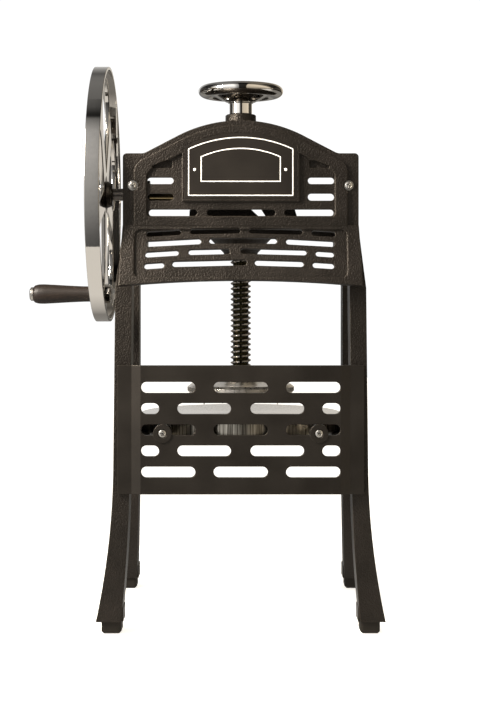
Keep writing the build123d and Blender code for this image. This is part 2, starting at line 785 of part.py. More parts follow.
def handwheel():
    """Ring, dished web with openings, hub and neck."""
    ring_r = handwheel_radius - handwheel_ring_half_width
    ring_z = handwheel_top_z - handwheel_ring_height / 2
    neck_top = boss_top_z + 0.5 + handwheel_neck_length
    neck_bottom = boss_top_z + 0.5
    hub_top = ring_z + 1.5
    turns = [2 * pi * i / handwheel_ring_sides for i in range(handwheel_ring_sides)]
    ring = Polygon(*[(ring_r + handwheel_ring_half_width * cos(t),
                      ring_z + handwheel_ring_height / 2 * sin(t)) for t in turns], align=None)
    web = Polygon((handwheel_hub_radius - 2, neck_top), (handwheel_hub_radius, neck_top),
                  (21, neck_top + 4.8), (ring_r - 2, ring_z - 3), (ring_r - 2, ring_z + 1),
                  (18, neck_top + 4.8 + handwheel_dish), (handwheel_hub_radius, hub_top),
                  (handwheel_hub_radius - 2, hub_top), align=None)
    wheel = revolve(Plane.XZ * (ring + web), Axis.Z)
    hole_r = (handwheel_hub_radius + ring_r - handwheel_ring_half_width) / 2 + 0.4
    for x, y in ring_places(hole_r, handwheel_openings, 45):
        wheel -= upright(3.4, neck_bottom, handwheel_top_z, x, y)
    wheel += turned([(0, neck_bottom), (handwheel_neck_radius, neck_bottom),
                     (handwheel_neck_radius, neck_top - 0.6),
                     (handwheel_neck_radius + 1.2, neck_top), (handwheel_hub_radius, neck_top),
                     (handwheel_hub_radius, hub_top), (0, hub_top)])
    wheel -= upright(screw_radius, neck_bottom - 1, handwheel_top_z + 1)
    return wheel


def handwheel_cap():
    """Domed cap over the end of the screw."""
    base = handwheel_top_z - handwheel_ring_height / 2 + 1.5
    return turned([(0, base), (cap_radius + 1.6, base), (cap_radius + 1.6, base + 0.8),
                   (cap_radius, base + 1.8), (cap_radius / 2, base + cap_height),
                   (0, base + cap_height)]) + upright(
        screw_radius - 2, base - 1.0, base)


def ice_clamp_disc():
    edge = 1.6
    hub_top = disc_top_z + disc_hub_height
    body = turned([(0, disc_bottom_z), (disc_radius - edge, disc_bottom_z),
                   (disc_radius, disc_bottom_z + edge), (disc_radius, disc_top_z - 3.2),
                   (disc_radius - 2.6, disc_top_z - 1.2), (disc_hub_radius + 8, disc_top_z),
                   (disc_hub_radius + 1.5, disc_top_z + 1.5), (disc_hub_radius, disc_top_z + 4),
                   (disc_hub_radius, hub_top - 1), (disc_hub_radius - 1, hub_top), (0, hub_top)])
    body -= upright(screw_radius, screw_bottom_z, hub_top + 1)
    body -= rod_x(disc_pin_radius, -30, 30, 0, disc_top_z + disc_hub_height / 2)
    return body


def clamp_pin():
    return rod_x(disc_pin_radius, -disc_hub_radius + 0.3, disc_hub_radius - 0.3, 0,
                 disc_top_z + disc_hub_height / 2)


def ice_spikes():
    spikes = []
    for radius, count in spike_rings:
        for x, y in ring_places(radius, count, 90):
            root = Plane.XY.offset(disc_bottom_z) * Pos(x, y) * RegularPolygon(
                spike_radius, spike_sides)
            tip = Plane.XY.offset(disc_bottom_z - spike_length) * Pos(x, y) * RegularPolygon(
                spike_tip_radius, spike_sides)
            spikes.append(loft([tip, root]))
    return spikes


# Bevel gears

def tooth_half_width(teeth, cone_angle, height):
    """Half thickness of a tooth at a height over the pitch cone, on the back cone's circle."""
    virtual = teeth / cos(cone_angle)
    pitch = gear_module * virtual / 2
    base = pitch * cos(radians(pressure_angle))
    radius = max(pitch + height, base)
    there = sqrt(max((radius / base) ** 2 - 1, 0))
    here = tan(radians(pressure_angle))
    roll_there = there - atan(there)
    roll_here = here - radians(pressure_angle)
    half = (pitch + height) * (pi / (2 * virtual) + roll_here - roll_there)
    return max(half - tooth_backlash / 2, 0.3)


def bevel_tooth(teeth, cone_angle, turn):
    """One straight tooth, on a gear whose apex is at the origin and whose axis is +Z.
    The gear's own teeth face down towards the apex."""
    heights = [-dedendum_factor * gear_module - 0.35, -0.45 * dedendum_factor * gear_module, 0.0,
               addendum_factor * gear_module]
    left = [(h, -tooth_half_width(teeth, cone_angle, h)) for h in heights]
    right = [(h, -w) for h, w in reversed(left)]
    along = Vector(sin(cone_angle), 0, cos(cone_angle))
    rise = Vector(cos(cone_angle), 0, -sin(cone_angle))
    side = Vector(0, 1, 0)

    def section(distance):
        share = distance / cone_distance
        points = [along * distance + (rise * h + side * w) * share for h, w in left + right]
        return Face(Wire(Polyline(*points, close=True).edges()))

    tooth = Solid.make_loft(
        [section(cone_distance - face_width).outer_wire(), section(cone_distance).outer_wire()],
        ruled=True)
    return Rot(0, 0, turn) * Part(tooth.wrapped)


def cone_point(cone_angle, distance, height):
    """Radius and height over the apex of a point of the gear's axial section."""
    share = distance / cone_distance
    r = distance * sin(cone_angle) + height * share * cos(cone_angle)
    z = distance * cos(cone_angle) - height * share * sin(cone_angle)
    return r, z


def toothed_blank(teeth, cone_angle, blank, first_turn):
    body = blank
    teeth_parts = [
        bevel_tooth(teeth, cone_angle, first_turn + 360 / teeth * i) for i in range(teeth)]
    return body.fuse(*teeth_parts)


def spindle_bevel_gear():
    """Crown gear with its teeth facing down, hub below."""
    cone = atan2(gear_pitch_radius, pinion_pitch_radius)
    root = -dedendum_factor * gear_module
    outer = cone_point(cone, cone_distance, root)
    inner = cone_point(cone, cone_distance - face_width, root)
    back = pinion_pitch_radius + gear_back
    hub_bottom = gear_hub_bottom_z - shaft_z
    web = inner[1] + gear_web_thickness / 2
    blank = turned([(sleeve_radius, hub_bottom), (gear_hub_radius, hub_bottom),
                    (gear_hub_radius, web), (inner[0] - 2, web), inner, outer,
                    (outer[0] - 0.6, outer[1] + 2), (outer[0] - 2.5, back),
                    (sleeve_radius, back)])
    gear = toothed_blank(gear_teeth, cone, blank, 180 + 180 / gear_teeth)
    return Pos(0, 0, shaft_z) * gear


def bevel_pinion():
    """Small bevel gear on the crank shaft, with its hub to the left."""
    cone = atan2(pinion_pitch_radius, gear_pitch_radius)
    root = -dedendum_factor * gear_module
    outer = cone_point(cone, cone_distance, root)
    inner = cone_point(cone, cone_distance - face_width, root)
    hub_z = outer[1] + pinion_hub_length
    blank = turned([(shaft_radius, inner[1]), inner, outer, (pinion_hub_radius, outer[1] + 0.6),
                    (pinion_hub_radius, hub_z), (shaft_radius, hub_z)])
    pinion = toothed_blank(pinion_teeth, cone, blank, 0)
    pinion = Pos(0, 0, shaft_z) * Rot(0, -90, 0) * pinion
    return pinion - pinion_pin_hole()


def pinion_pin_x():
    cone = atan2(pinion_pitch_radius, gear_pitch_radius)
    outer = cone_point(cone, cone_distance, -dedendum_factor * gear_module)
    return -(outer[1] + pinion_hub_length * 0.6)


def pinion_pin_hole():
    return rod_y(pinion_pin_radius, -pinion_hub_radius - 1, pinion_hub_radius + 1,
                 pinion_pin_x(), shaft_z)


def pinion_pin():
    return rod_y(pinion_pin_radius, -pinion_hub_radius + 0.3, pinion_hub_radius - 0.3,
                 pinion_pin_x(), shaft_z)


# Spindle drive

def drive_sleeve():
    """Sleeve that carries the gear, with a thrust collar under the roof boss."""
    top = boss_top_z - 0.8
    body = turned([(screw_radius + running_gap, sleeve_bottom_z), (sleeve_radius, sleeve_bottom_z),
                   (sleeve_radius, collar_bottom_z), (collar_radius, collar_bottom_z),
                   (collar_radius, collar_top_z), (sleeve_radius, collar_top_z),
                   (sleeve_radius, top), (screw_radius + running_gap, top)])
    return body - key_space()


def key_space():
    """Window in the sleeve that holds the key."""
    half = keyway_width / 2 - key_side_gap
    return block(-half, half, -sleeve_radius - 1, -screw_radius + keyway_depth,
                 gear_hub_bottom_z, gear_hub_bottom_z + key_length)


def spindle_key():
    """Key from the gear bore through the sleeve into the keyway of the screw."""
    half = keyway_width / 2 - key_side_gap
    bar = block(-half, half, -sleeve_radius - 1, -screw_radius + keyway_depth - side_gap,
                gear_hub_bottom_z, gear_hub_bottom_z + key_length)
    return bar & upright(sleeve_radius, gear_hub_bottom_z, gear_hub_bottom_z + key_length)


def thrust_washer():
    bottom = collar_top_z + seat_gap
    return upright(collar_radius, bottom, bottom + thrust_washer_thickness) - upright(
        sleeve_radius + side_gap, bottom - 1, bottom + thrust_washer_thickness + 1)


def gear_retainer():
    """Cup under the roof flange that holds the collar up."""
    lip_top = collar_bottom_z - seat_gap
    bottom = lip_top - retainer_lip
    cup = upright(flange_radius, bottom, flange_bottom_z)
    cup -= upright(collar_radius + side_gap, lip_top, flange_bottom_z + 1)
    cup -= upright(sleeve_radius + side_gap, bottom - 1, lip_top + 1)
    for x, y in retainer_screw_places:
        cup -= upright(small_screw_radius + screw_gap, bottom - 1, flange_bottom_z + 1, x, y)
    return cup


def retainer_screws():
    seat = collar_bottom_z - seat_gap - retainer_lip
    screws = []
    for x, y in retainer_screw_places:
        shank = upright(small_screw_radius, seat, flange_bottom_z + 8, x, y)
        screws.append(shank + upright(small_head_radius, seat - small_head_height, seat, x, y))
    return screws


# Gear bridge, nut and yoke

def bridge_hub_bore():
    nut_space = upright(nut_radius + running_gap, nut_bottom_z - seat_gap, bridge_top_z + 1)
    return nut_space + upright(screw_radius + 0.6, hub_bottom_z - 1, nut_bottom_z + 1)


def gear_bridge():
    """Cross beam between the side frames with a cone shaped nut housing under it."""
    plan = Rectangle(2 * wall_inner, 2 * bridge_half_depth)
    waist = [Pos(side * wall_inner / 2, fore * (bridge_half_depth + 26)) * Circle(34)
             for side in (-1, 1) for fore in (-1, 1)]
    for bite in waist:
        plan -= bite
    beam = across_z(plan + Circle(hub_top_radius), bridge_bottom_z, bridge_top_z)
    hub = turned([(0, hub_bottom_z), (screw_radius + 3, hub_bottom_z),
                  (hub_waist_radius - 1, hub_bottom_z + 1), (hub_waist_radius, hub_waist_z),
                  (hub_top_radius - 2, bridge_bottom_z - 2), (hub_top_radius, bridge_bottom_z),
                  (hub_top_radius, bridge_bottom_z + 1), (0, bridge_bottom_z + 1)])
    body = beam + hub - bridge_hub_bore()
    for x, y in bridge_screw_places:
        body -= upright(small_screw_radius + screw_gap, bridge_bottom_z - 1, bridge_top_z + 1, x, y)
    for x, y in yoke_screw_places:
        body -= upright(small_screw_radius + screw_gap, bridge_top_z - 7, bridge_top_z + 1, x, y)
    return body


def feed_nut():
    """Bronze nut in the bridge, round outside, held down by the yoke's foot."""
    top = bridge_top_z - seat_gap
    return upright(nut_radius, nut_bottom_z, top) - upright(
        screw_radius + running_gap, nut_bottom_z - 1, top + 1)


def shaft_yoke():
    """Upright on the bridge: bearing for the inner end of the shaft, web and right horn."""
    foot_top = bridge_top_z + yoke_plate_thickness
    foot = block(-yoke_left_x, yoke_right_x, -yoke_front_y, yoke_back_y, bridge_top_z, foot_top)
    foot = fillet(foot.edges().filter_by(Axis.Z), 5)
    left = -shaft_end_x - yoke_bearing_length
    bearing = rod_x(yoke_bearing_radius, left, -shaft_end_x, 0, shaft_z)
    leg_half = yoke_bearing_radius - 1
    column = block(left, -shaft_end_x, -leg_half, leg_half, foot_top - 1, shaft_z)
    web_back = -screw_radius - 3
    web_front = web_back - yoke_web_thickness
    web = across_y(Polygon((-yoke_left_x + 0.4, foot_top - 1), (web_foot_x, foot_top - 1),
                           (web_bend_x, web_bend_z), (left, shaft_z), (left - 2, shaft_z - 6),
                           (-yoke_left_x + 0.8, foot_top + web_left_rise), align=None),
                   web_front, web_back)
    arm = block(left, -shaft_end_x, web_front, 0, foot_top - 1, shaft_z - 4)
    horn = across_y(Polygon((horn_base_x, foot_top - 1), (yoke_right_x - 1, foot_top - 1),
                            (horn_tip_right_x, foot_top + horn_height),
                            (horn_tip_left_x, foot_top + horn_height), align=None),
                    web_front, web_back)
    body = foot + bearing + column + web + arm + horn
    body -= rod_x(shaft_radius + bush_wall, left - 1, -shaft_end_x + 1, 0, shaft_z)
    body -= upright(screw_radius + 0.6, bridge_top_z - 1, foot_top + 1)
    for x, y in yoke_screw_places:
        body -= upright(small_screw_radius + screw_gap, bridge_top_z - 1, foot_top + 1, x, y)
    return body


# Crank shaft line

def bush(left, right):
    ring = rod_x(shaft_radius + bush_wall, left, right, 0, shaft_z)
    return ring, rod_x(shaft_radius + running_gap, left - 5, right + 5, 0, shaft_z)


def shaft_bush():
    left = -head_half_width
    ring, bore = bush(left, left + bush_length)
    flange = rod_x(bush_flange_radius, left - bush_flange_thickness, left, 0, shaft_z)
    return ring + flange - bore


def yoke_bush():
    ring, bore = bush(-shaft_end_x - yoke_bearing_length, -shaft_end_x)
    return ring - bore


def crank_shaft():
    body = rod_x(shaft_radius, -rim_left_x - wheel_nut_length + thread_end, -shaft_end_x, 0, shaft_z)
    return body - pinion_pin_hole()


# Flywheel and grip

def wheel_opening(turn):
    """Drop shaped opening: a large round end near the rim, a small one near the hub."""
    big = Pos(0, opening_centre) * Circle(opening_radius)
    small = Pos(0, opening_tip) * Circle(opening_tip_radius)
    reach = opening_centre - opening_tip
    lean = asin((opening_radius - opening_tip_radius) / reach)
    def touch(radius, height, side):
        return side * radius * cos(lean), height - radius * sin(lean)
    sides = Polygon(touch(opening_radius, opening_centre, 1), touch(opening_tip_radius, opening_tip, 1),
                    touch(opening_tip_radius, opening_tip, -1), touch(opening_radius, opening_centre, -1),
                    align=None)
    return Rot(0, 0, turn) * (big + small + sides)


def flywheel():
    """Rim band, web with five drop shaped openings, hub and grip boss."""
    inner_rim = wheel_radius - rim_thickness
    left, right = -rim_left_x, -rim_left_x + rim_width
    rim = turned_x([(left, inner_rim), (left, wheel_radius - rim_edge),
                    (left + rim_edge, wheel_radius), (right - rim_edge, wheel_radius),
                    (right, wheel_radius - rim_edge), (right, inner_rim)], shaft_z)
    plan = Circle(inner_rim + 0.5)
    for i in range(wheel_openings):
        plan -= wheel_opening(360 / wheel_openings * i)
    web = Pos(0, 0, shaft_z) * across_x(plan, -wheel_web_x - web_thickness / 2,
                                        -wheel_web_x + web_thickness / 2)
    hub = turned_x([(left, 0), (left, wheel_hub_radius + 2), (-wheel_web_x, wheel_hub_radius + 6),
                    (-wheel_hub_inner_x - 1.5, wheel_hub_radius), (-wheel_hub_inner_x, wheel_hub_radius - 1),
                    (-wheel_hub_inner_x, 0)], shaft_z)
    boss = rod_x(grip_boss_radius, -grip_inner_x + side_gap, -wheel_web_x + 6, 0, crank_z)
    wheel = rim + web + hub + boss
    wheel -= rod_x(shaft_radius, left - 5, right + 9, 0, shaft_z)
    wheel -= rod_x(grip_bolt_radius, -grip_inner_x - 5, right + 9, 0, crank_z)
    return wheel


def hexagon_x(radius, left, right, z):
    return across_x(Pos(0, z) * RegularPolygon(radius, 6), left, right)


def flywheel_nut():
    left = -rim_left_x - wheel_nut_length
    nut = hexagon_x(wheel_nut_radius, left + 1.6, -rim_left_x, shaft_z)
    dome = turned_x([(left, 0), (left, 3), (left + 1.6, wheel_nut_radius - 1.4),
                     (left + 1.7, wheel_nut_radius - 1.4), (left + 1.7, 0)], shaft_z)
    nut = nut + dome
    return nut - rod_x(shaft_radius, left + thread_end, -rim_left_x + 1, 0, shaft_z)


def grip():
    """Turned grip, narrow at the wheel and full at the outer end."""
    near, far = -grip_inner_x, -grip_outer_x
    body = turned_x([
        (near, 0), (near, grip_neck_radius), (near - 2, grip_small_radius),
        (near - grip_length * 0.2, grip_small_radius + 0.5),
        (near - grip_length * 0.45, grip_large_radius - 0.5),
        (far + grip_length * 0.3, grip_large_radius - 0.1), (far + 6, grip_large_radius),
        (far + 1.5, grip_large_radius - 0.2), (far, grip_cap_radius), (far, 0)], crank_z)
    return body - rod_x(grip_bolt_radius + running_gap, far - 1, near + 1, 0, crank_z)


def grip_bolt():
    end = -wheel_web_x + 6 + grip_nut_length
    shank = rod_x(grip_bolt_radius, -grip_outer_x - seat_gap, end, 0, crank_z)
    left = -grip_outer_x - grip_cap_length
    head = turned_x([(left, 0), (left, grip_cap_radius - 1.2), (left + 1, grip_cap_radius),
                     (-grip_outer_x - seat_gap, grip_cap_radius), (-grip_outer_x - seat_gap, 0)],
                    crank_z)
    return shank + head


def grip_nut():
    left = -wheel_web_x + 6
    nut = hexagon_x(grip_nut_radius, left, left + grip_nut_length, crank_z)
    return nut - rod_x(grip_bolt_radius, left - 1, left + grip_nut_length + 1, 0, crank_z)


# Fasteners and feet

def head_screws():
    screws = []
    for x, z in head_screw_places:
        seat = panel_front_y - head_washer_thickness
        shank = rod_y(small_screw_radius, seat, front_y + head_screw_length - panel_thickness - 0.5,
                      x, z)
        head = rod_y(small_head_radius, seat - small_head_height, seat, x, z)
        washer = rod_y(head_washer_radius, seat, panel_front_y, x, z)
        screws.append(shank + head + washer)
    return screws


def panel_screws():
    screws = []
    seat = front_y - panel_thickness - lower_panel_step + 0.4
    for x, z in panel_screw_places:
        shank = rod_y(small_screw_radius, seat, front_y + panel_screw_length - panel_thickness - 0.5,
                      x, z)
        screws.append(shank + rod_y(small_head_radius, seat - small_head_height, seat, x, z))
    return screws


def table_screws():
    seat = table_bottom_z - table_ledge_height
    screws = []
    for x, y in table_screw_places:
        shank = upright(small_screw_radius, seat, table_bottom_z + 7, x, y)
        screws.append(shank + upright(small_head_radius, seat - small_head_height, seat, x, y))
    return screws


def bridge_screws():
    return [screw_down(x, y, bridge_top_z, bridge_thickness + 5) for x, y in bridge_screw_places]


def yoke_screws():
    seat = bridge_top_z + yoke_plate_thickness
    return [screw_down(x, y, seat, yoke_plate_thickness + 6) for x, y in yoke_screw_places]


def roof_screws():
    screws = []
    inner = wall_inner - roof_shoe_reach
    for y in roof_screw_ys:
        shank = rod_x(small_screw_radius, inner, wall_inner + wall_thickness - 2.5, y, roof_screw_z)
        head = rod_x(small_head_radius, inner - small_head_height, inner, y, roof_screw_z)
        screws += both_sides(shank + head)
    return screws


def foot_screws():
    screws = []
    for x, y in foot_places:
        seat = foot_screw_head_height + 2
        shank = upright(foot_screw_radius, seat, leg_bottom_z + foot_screw_bite, x, y)
        head = upright(foot_screw_head_radius, seat - foot_screw_head_height, seat, x, y)
        screws.append(shank + head)
    return screws


def rubber_feet():
    feet = []
    for x, y in foot_places:
        pad = Pos(x, y, leg_bottom_z / 2) * Box(foot_width, foot_depth, leg_bottom_z)
        pad = fillet(pad.edges().filter_by(Axis.Z), foot_rounding)
        pad = chamfer(pad.faces().sort_by(Axis.Z)[0].edges(), foot_edge)
        seat = foot_screw_head_height + 2
        pad -= upright(foot_screw_head_radius + screw_gap, -1, seat, x, y)
        pad -= upright(foot_screw_radius + screw_gap, -1, leg_bottom_z + 1, x, y)
        feet.append(pad)
    return feet


nodes = {
    "right_side_frame": lambda: side_frame(False),
    "left_side_frame": lambda: mirror(side_frame(True), about=Plane.YZ),
    "head_front_panel": head_front_panel,
    "nameplate": nameplate,
    "head_roof": head_roof,
    "lower_front_panel": lower_front_panel,
    "gear_bridge": gear_bridge,
    "shaft_yoke": shaft_yoke,
    "blade_table": blade_table,
    "blade": blade,
    "blade_holder": blade_holder,
    "blade_screws": blade_screws,
    "feed_screw": feed_screw,
    "handwheel": handwheel,
    "handwheel_cap": handwheel_cap,
    "ice_clamp_disc": ice_clamp_disc,
    "ice_spikes": ice_spikes,
    "clamp_pin": clamp_pin,
    "feed_nut": feed_nut,
    "drive_sleeve": drive_sleeve,
    "spindle_bevel_gear": spindle_bevel_gear,
    "spindle_key": spindle_key,
    "thrust_washer": thrust_washer,
    "gear_retainer": gear_retainer,
    "retainer_screws": retainer_screws,
    "crank_shaft": crank_shaft,
    "bevel_pinion": bevel_pinion,
    "pinion_pin": pinion_pin,
    "shaft_bush": shaft_bush,
    "yoke_bush": yoke_bush,
    "flywheel": flywheel,
    "flywheel_nut": flywheel_nut,
    "grip": grip,
    "grip_bolt": grip_bolt,
    "grip_nut": grip_nut,
    "head_screws": head_screws,
    "panel_screws": panel_screws,
    "table_screws": table_screws,
    "bridge_screws": bridge_screws,
    "yoke_screws": yoke_screws,
    "roof_screws": roof_screws,
    "foot_screws": foot_screws,
    "rubber_feet": rubber_feet,
}

os.makedirs("parts", exist_ok=True)
for name, make in nodes.items():
    shape = make()
    solids = shape if isinstance(shape, list) else [shape]
    placed = [Pos(frame_shift, 0, 0) * Part(solid.wrapped) for solid in solids]
    group = placed[0] if len(placed) == 1 else Compound(children=placed)
    export_step(group, f"parts/{name}.step")
    print(name, len(group.solids()), round(group.volume))
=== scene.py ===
import json
from math import asin, cos, pi, radians, sin, sqrt

import bmesh
import bpy
from mathutils import Matrix, Vector


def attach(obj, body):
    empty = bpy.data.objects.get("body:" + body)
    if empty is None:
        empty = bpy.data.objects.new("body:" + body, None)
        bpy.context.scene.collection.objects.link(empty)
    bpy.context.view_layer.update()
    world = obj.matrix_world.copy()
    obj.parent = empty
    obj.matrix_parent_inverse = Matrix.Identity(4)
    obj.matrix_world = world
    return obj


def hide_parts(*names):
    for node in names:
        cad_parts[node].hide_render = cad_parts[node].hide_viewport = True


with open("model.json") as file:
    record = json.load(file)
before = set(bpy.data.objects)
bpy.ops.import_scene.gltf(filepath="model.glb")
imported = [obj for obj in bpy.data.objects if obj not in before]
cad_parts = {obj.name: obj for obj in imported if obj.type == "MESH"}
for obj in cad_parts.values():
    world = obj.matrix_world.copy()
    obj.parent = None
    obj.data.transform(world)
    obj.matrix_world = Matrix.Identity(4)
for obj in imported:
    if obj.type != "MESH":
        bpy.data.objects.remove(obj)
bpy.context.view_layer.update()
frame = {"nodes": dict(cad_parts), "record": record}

nodes = frame["nodes"]
spindleX = 0.0310   # the spindle stands here, right of the origin, in metres
mm = 0.001


def place(x, y, z):
    # millimetres round the spindle, turned into metres of the frame
    return Vector((x * mm + spindleX, y * mm, z * mm))


# Node trees

def addNode(tree, kind, links=None, **settings):
    # adds one node, sets it up, links or fills its inputs and gives its first output
    node = tree.nodes.new(kind)
    for name, value in settings.items():
        setattr(node, name, value)
    for key, value in (links or {}).items():
        several = value if isinstance(value, list) else [value]
        if isinstance(several[0], bpy.types.NodeSocket):
            for socket in several:
                tree.links.new(socket, node.inputs[key])
        else:
            node.inputs[key].default_value = value
    return node.outputs[0] if node.outputs else node


def linear(hexColour):
    channels = [int(hexColour[i:i + 2], 16) / 255 for i in (1, 3, 5)]
    return tuple(c / 12.92 if c <= 0.04045 else ((c + 0.055) / 1.055) ** 2.4 for c in channels)


def rgba(hexColour):
    return (*linear(hexColour), 1.0)


def newMaterial(name, **surface):
    material = bpy.data.materials.new(name)
    material.use_nodes = True
    tree = material.node_tree
    tree.nodes.clear()
    sockets = {key.replace("_", " "): value for key, value in surface.items()}
    shader = addNode(tree, "ShaderNodeBsdfPrincipled", sockets).node
    addNode(tree, "ShaderNodeOutputMaterial", {"Surface": shader.outputs[0]})
    return material, tree, shader


def objectPoint(tree, stretch=(1, 1, 1)):
    # object coordinates, which are the frame's own metres on every piece
    where = addNode(tree, "ShaderNodeTexCoord").node.outputs["Object"]
    return addNode(tree, "ShaderNodeMapping", {"Vector": where, "Scale": stretch})


# Materials. Sizes of patterns are in metres.

def castIron(name, look):
    # Sand cast iron under baked black enamel: a crinkle of small lumps left by the sand,
    # lighter edges that are partly thin worn enamel and partly a painted highlight, and slow
    # patches in its gloss.
    material, tree, shader = newMaterial(name, Roughness=look["roughness"],
                                         Specular_IOR_Level=look["gloss"],
                                         Specular_Tint=(1.0, 0.88, 0.75, 1.0))   # warm sheen
    point = objectPoint(tree)
    cells = addNode(tree, "ShaderNodeTexVoronoi", {
        "Vector": point, "Scale": 1 / look["lump"], "Smoothness": 0.5}, feature="SMOOTH_F1")
    lumps = addNode(tree, "ShaderNodeMath", {0: 1.0, 1: cells}, operation="SUBTRACT")
    patchSize = 0.03
    patches = addNode(tree, "ShaderNodeTexNoise", {
        "Vector": point, "Scale": 1 / patchSize, "Detail": 3})
    edge = addNode(tree, "ShaderNodeBevel", {"Radius": look["edgeRadius"]}, samples=6)
    facing = addNode(tree, "ShaderNodeNewGeometry").node.outputs["Normal"]
    # near an edge the softened normal leans away from the face's own
    likeness = addNode(tree, "ShaderNodeVectorMath", {0: edge, 1: facing},
                       operation="DOT_PRODUCT").node.outputs["Value"]
    # painted highlight: the edge colour lightens every edge, standing for worn enamel and for light
    # caught there
    wornAndHighlitEdge = addNode(tree, "ShaderNodeMapRange", {
        "Value": likeness, "From Min": 0.985, "From Max": 0.80,
        "To Min": 0.0, "To Max": look["edgeWearAndHighlight"]})
    shade = addNode(tree, "ShaderNodeMapRange", {
        "Value": patches, "From Min": 0.35, "From Max": 0.68, "To Min": 0.0, "To Max": 1.0})
    body = addNode(tree, "ShaderNodeMix", {
        "Factor": shade, "A": rgba(look["dark"]), "B": rgba(look["light"])},
        data_type="RGBA").node.outputs["Result"]
    coloured = addNode(tree, "ShaderNodeMix", {
        "Factor": wornAndHighlitEdge, "A": body, "B": rgba(look["edge"])},
        data_type="RGBA").node.outputs["Result"]
    tree.links.new(coloured, shader.inputs["Base Color"])
    glossier, duller = 0.05, 0.07
    gloss = addNode(tree, "ShaderNodeMapRange", {
        "Value": patches, "From Min": 0.3, "From Max": 0.7,
        "To Min": look["roughness"] - glossier, "To Max": look["roughness"] + duller})
    tree.links.new(gloss, shader.inputs["Roughness"])
    bump = addNode(tree, "ShaderNodeBump", {
        "Height": lumps, "Normal": edge, "Strength": look["relief"],
        "Distance": look["lump"] * 0.5})
    tree.links.new(bump, shader.inputs["Normal"])
    return material


def polishedMetal(name, look):
    # Plated or machined metal: near mirror, with a faint grain of the polishing or the cut.
    # The grain makes the roughness wander by grainDepth either way, but never to a true mirror.
    rough, depth, smoothest = look["roughness"], look.get("grainDepth", 0.05), 0.015
    material, tree, shader = newMaterial(name, Base_Color=rgba(look["colour"]), Metallic=1.0,
                                         Roughness=rough)
    point = objectPoint(tree, look.get("stretch", (1, 1, 1)))
    grain = addNode(tree, "ShaderNodeTexNoise", {
        "Vector": point, "Scale": 1 / look.get("grain", 0.0004), "Detail": 3, "Roughness": 0.6})
    gloss = addNode(tree, "ShaderNodeMapRange", {
        "Value": grain, "From Min": 0.3, "From Max": 0.7,
        "To Min": max(rough - depth, smoothest), "To Max": rough + depth})
    tree.links.new(gloss, shader.inputs["Roughness"])
    edge = addNode(tree, "ShaderNodeBevel", {"Radius": look.get("edgeRadius", 0.0003)}, samples=4)
    bump = addNode(tree, "ShaderNodeBump", {
        "Height": grain, "Normal": edge, "Strength": look.get("relief", 0.05), "Distance": 0.0001})
    tree.links.new(bump, shader.inputs["Normal"])
    return material


def fromSpindle(tree):
    # distance from the spindle's axis, in metres
    return addNode(tree, "ShaderNodeVectorMath", {
        0: objectPoint(tree, (1, 1, 0)), 1: (spindleX, 0, 0)},
        operation="DISTANCE").node.outputs["Value"]


def threadWithPaintedShade(name, look):
    # Rolled thread: the colour runs from dark at the root to light at the crest, a painted
    # shade in the grooves and a painted highlight along the crests.
    material = polishedMetal(name, look)
    tree = material.node_tree
    # painted shade and highlight: darker towards the root of the thread, lighter towards its crest
    crest = addNode(tree, "ShaderNodeMapRange", {
        "Value": fromSpindle(tree), "From Min": look["rootRadius"], "From Max": look["crestRadius"],
        "To Min": 0.0, "To Max": 1.0})
    colour = addNode(tree, "ShaderNodeMix", {
        "Factor": crest, "A": rgba(look["grooveShade"]), "B": rgba(look["colour"])},
        data_type="RGBA").node.outputs["Result"]
    tree.links.new(colour, tree.nodes["Principled BSDF"].inputs["Base Color"])
    return material


def turnedTable(name, look):
    # Turned aluminium: the top is polished almost to a mirror, with the rings of the tool,
    # and the rim keeps upright marks where it was brushed across.
    material, tree, shader = newMaterial(name, Metallic=1.0, Roughness=look["topRoughness"])
    facing = addNode(tree, "ShaderNodeSeparateXYZ", {
        "Vector": addNode(tree, "ShaderNodeNewGeometry").node.outputs["Normal"]}).node.outputs["Z"]
    side = addNode(tree, "ShaderNodeMapRange", {
        "Value": facing, "From Min": 0.4, "From Max": 0.6, "To Min": 1.0, "To Max": 0.0})
    marks = addNode(tree, "ShaderNodeTexNoise", {
        "Vector": objectPoint(tree, (1, 1, 0.02)), "Scale": 1 / look["mark"], "Detail": 2.5})
    rings = addNode(tree, "ShaderNodeMath", {
        0: fromSpindle(tree), 1: 2 * pi / look["ring"]}, operation="MULTIPLY")
    wave = addNode(tree, "ShaderNodeMath", {0: rings}, operation="SINE")
    height = addNode(tree, "ShaderNodeMix", {"Factor": side, "A": wave, "B": marks})
    tone = addNode(tree, "ShaderNodeMapRange", {
        "Value": marks, "From Min": 0.38, "From Max": 0.62, "To Min": 0.0, "To Max": 1.0})
    brushed = addNode(tree, "ShaderNodeMix", {
        "Factor": tone, "A": rgba(look["rimDark"]), "B": rgba(look["rimLight"])},
        data_type="RGBA").node.outputs["Result"]
    colour = addNode(tree, "ShaderNodeMix", {
        "Factor": side, "A": rgba(look["top"]), "B": brushed},
        data_type="RGBA").node.outputs["Result"]
    tree.links.new(colour, shader.inputs["Base Color"])
    gloss = addNode(tree, "ShaderNodeMapRange", {
        "Value": side, "From Min": 0, "From Max": 1,
        "To Min": look["topRoughness"], "To Max": look["rimRoughness"]})
    tree.links.new(gloss, shader.inputs["Roughness"])
    edge = addNode(tree, "ShaderNodeBevel", {"Radius": look["edgeRadius"]}, samples=4)
    bump = addNode(tree, "ShaderNodeBump", {
        "Height": height, "Normal": edge, "Strength": look["relief"],
        "Distance": look["toolDepth"]})
    tree.links.new(bump, shader.inputs["Normal"])
    return material


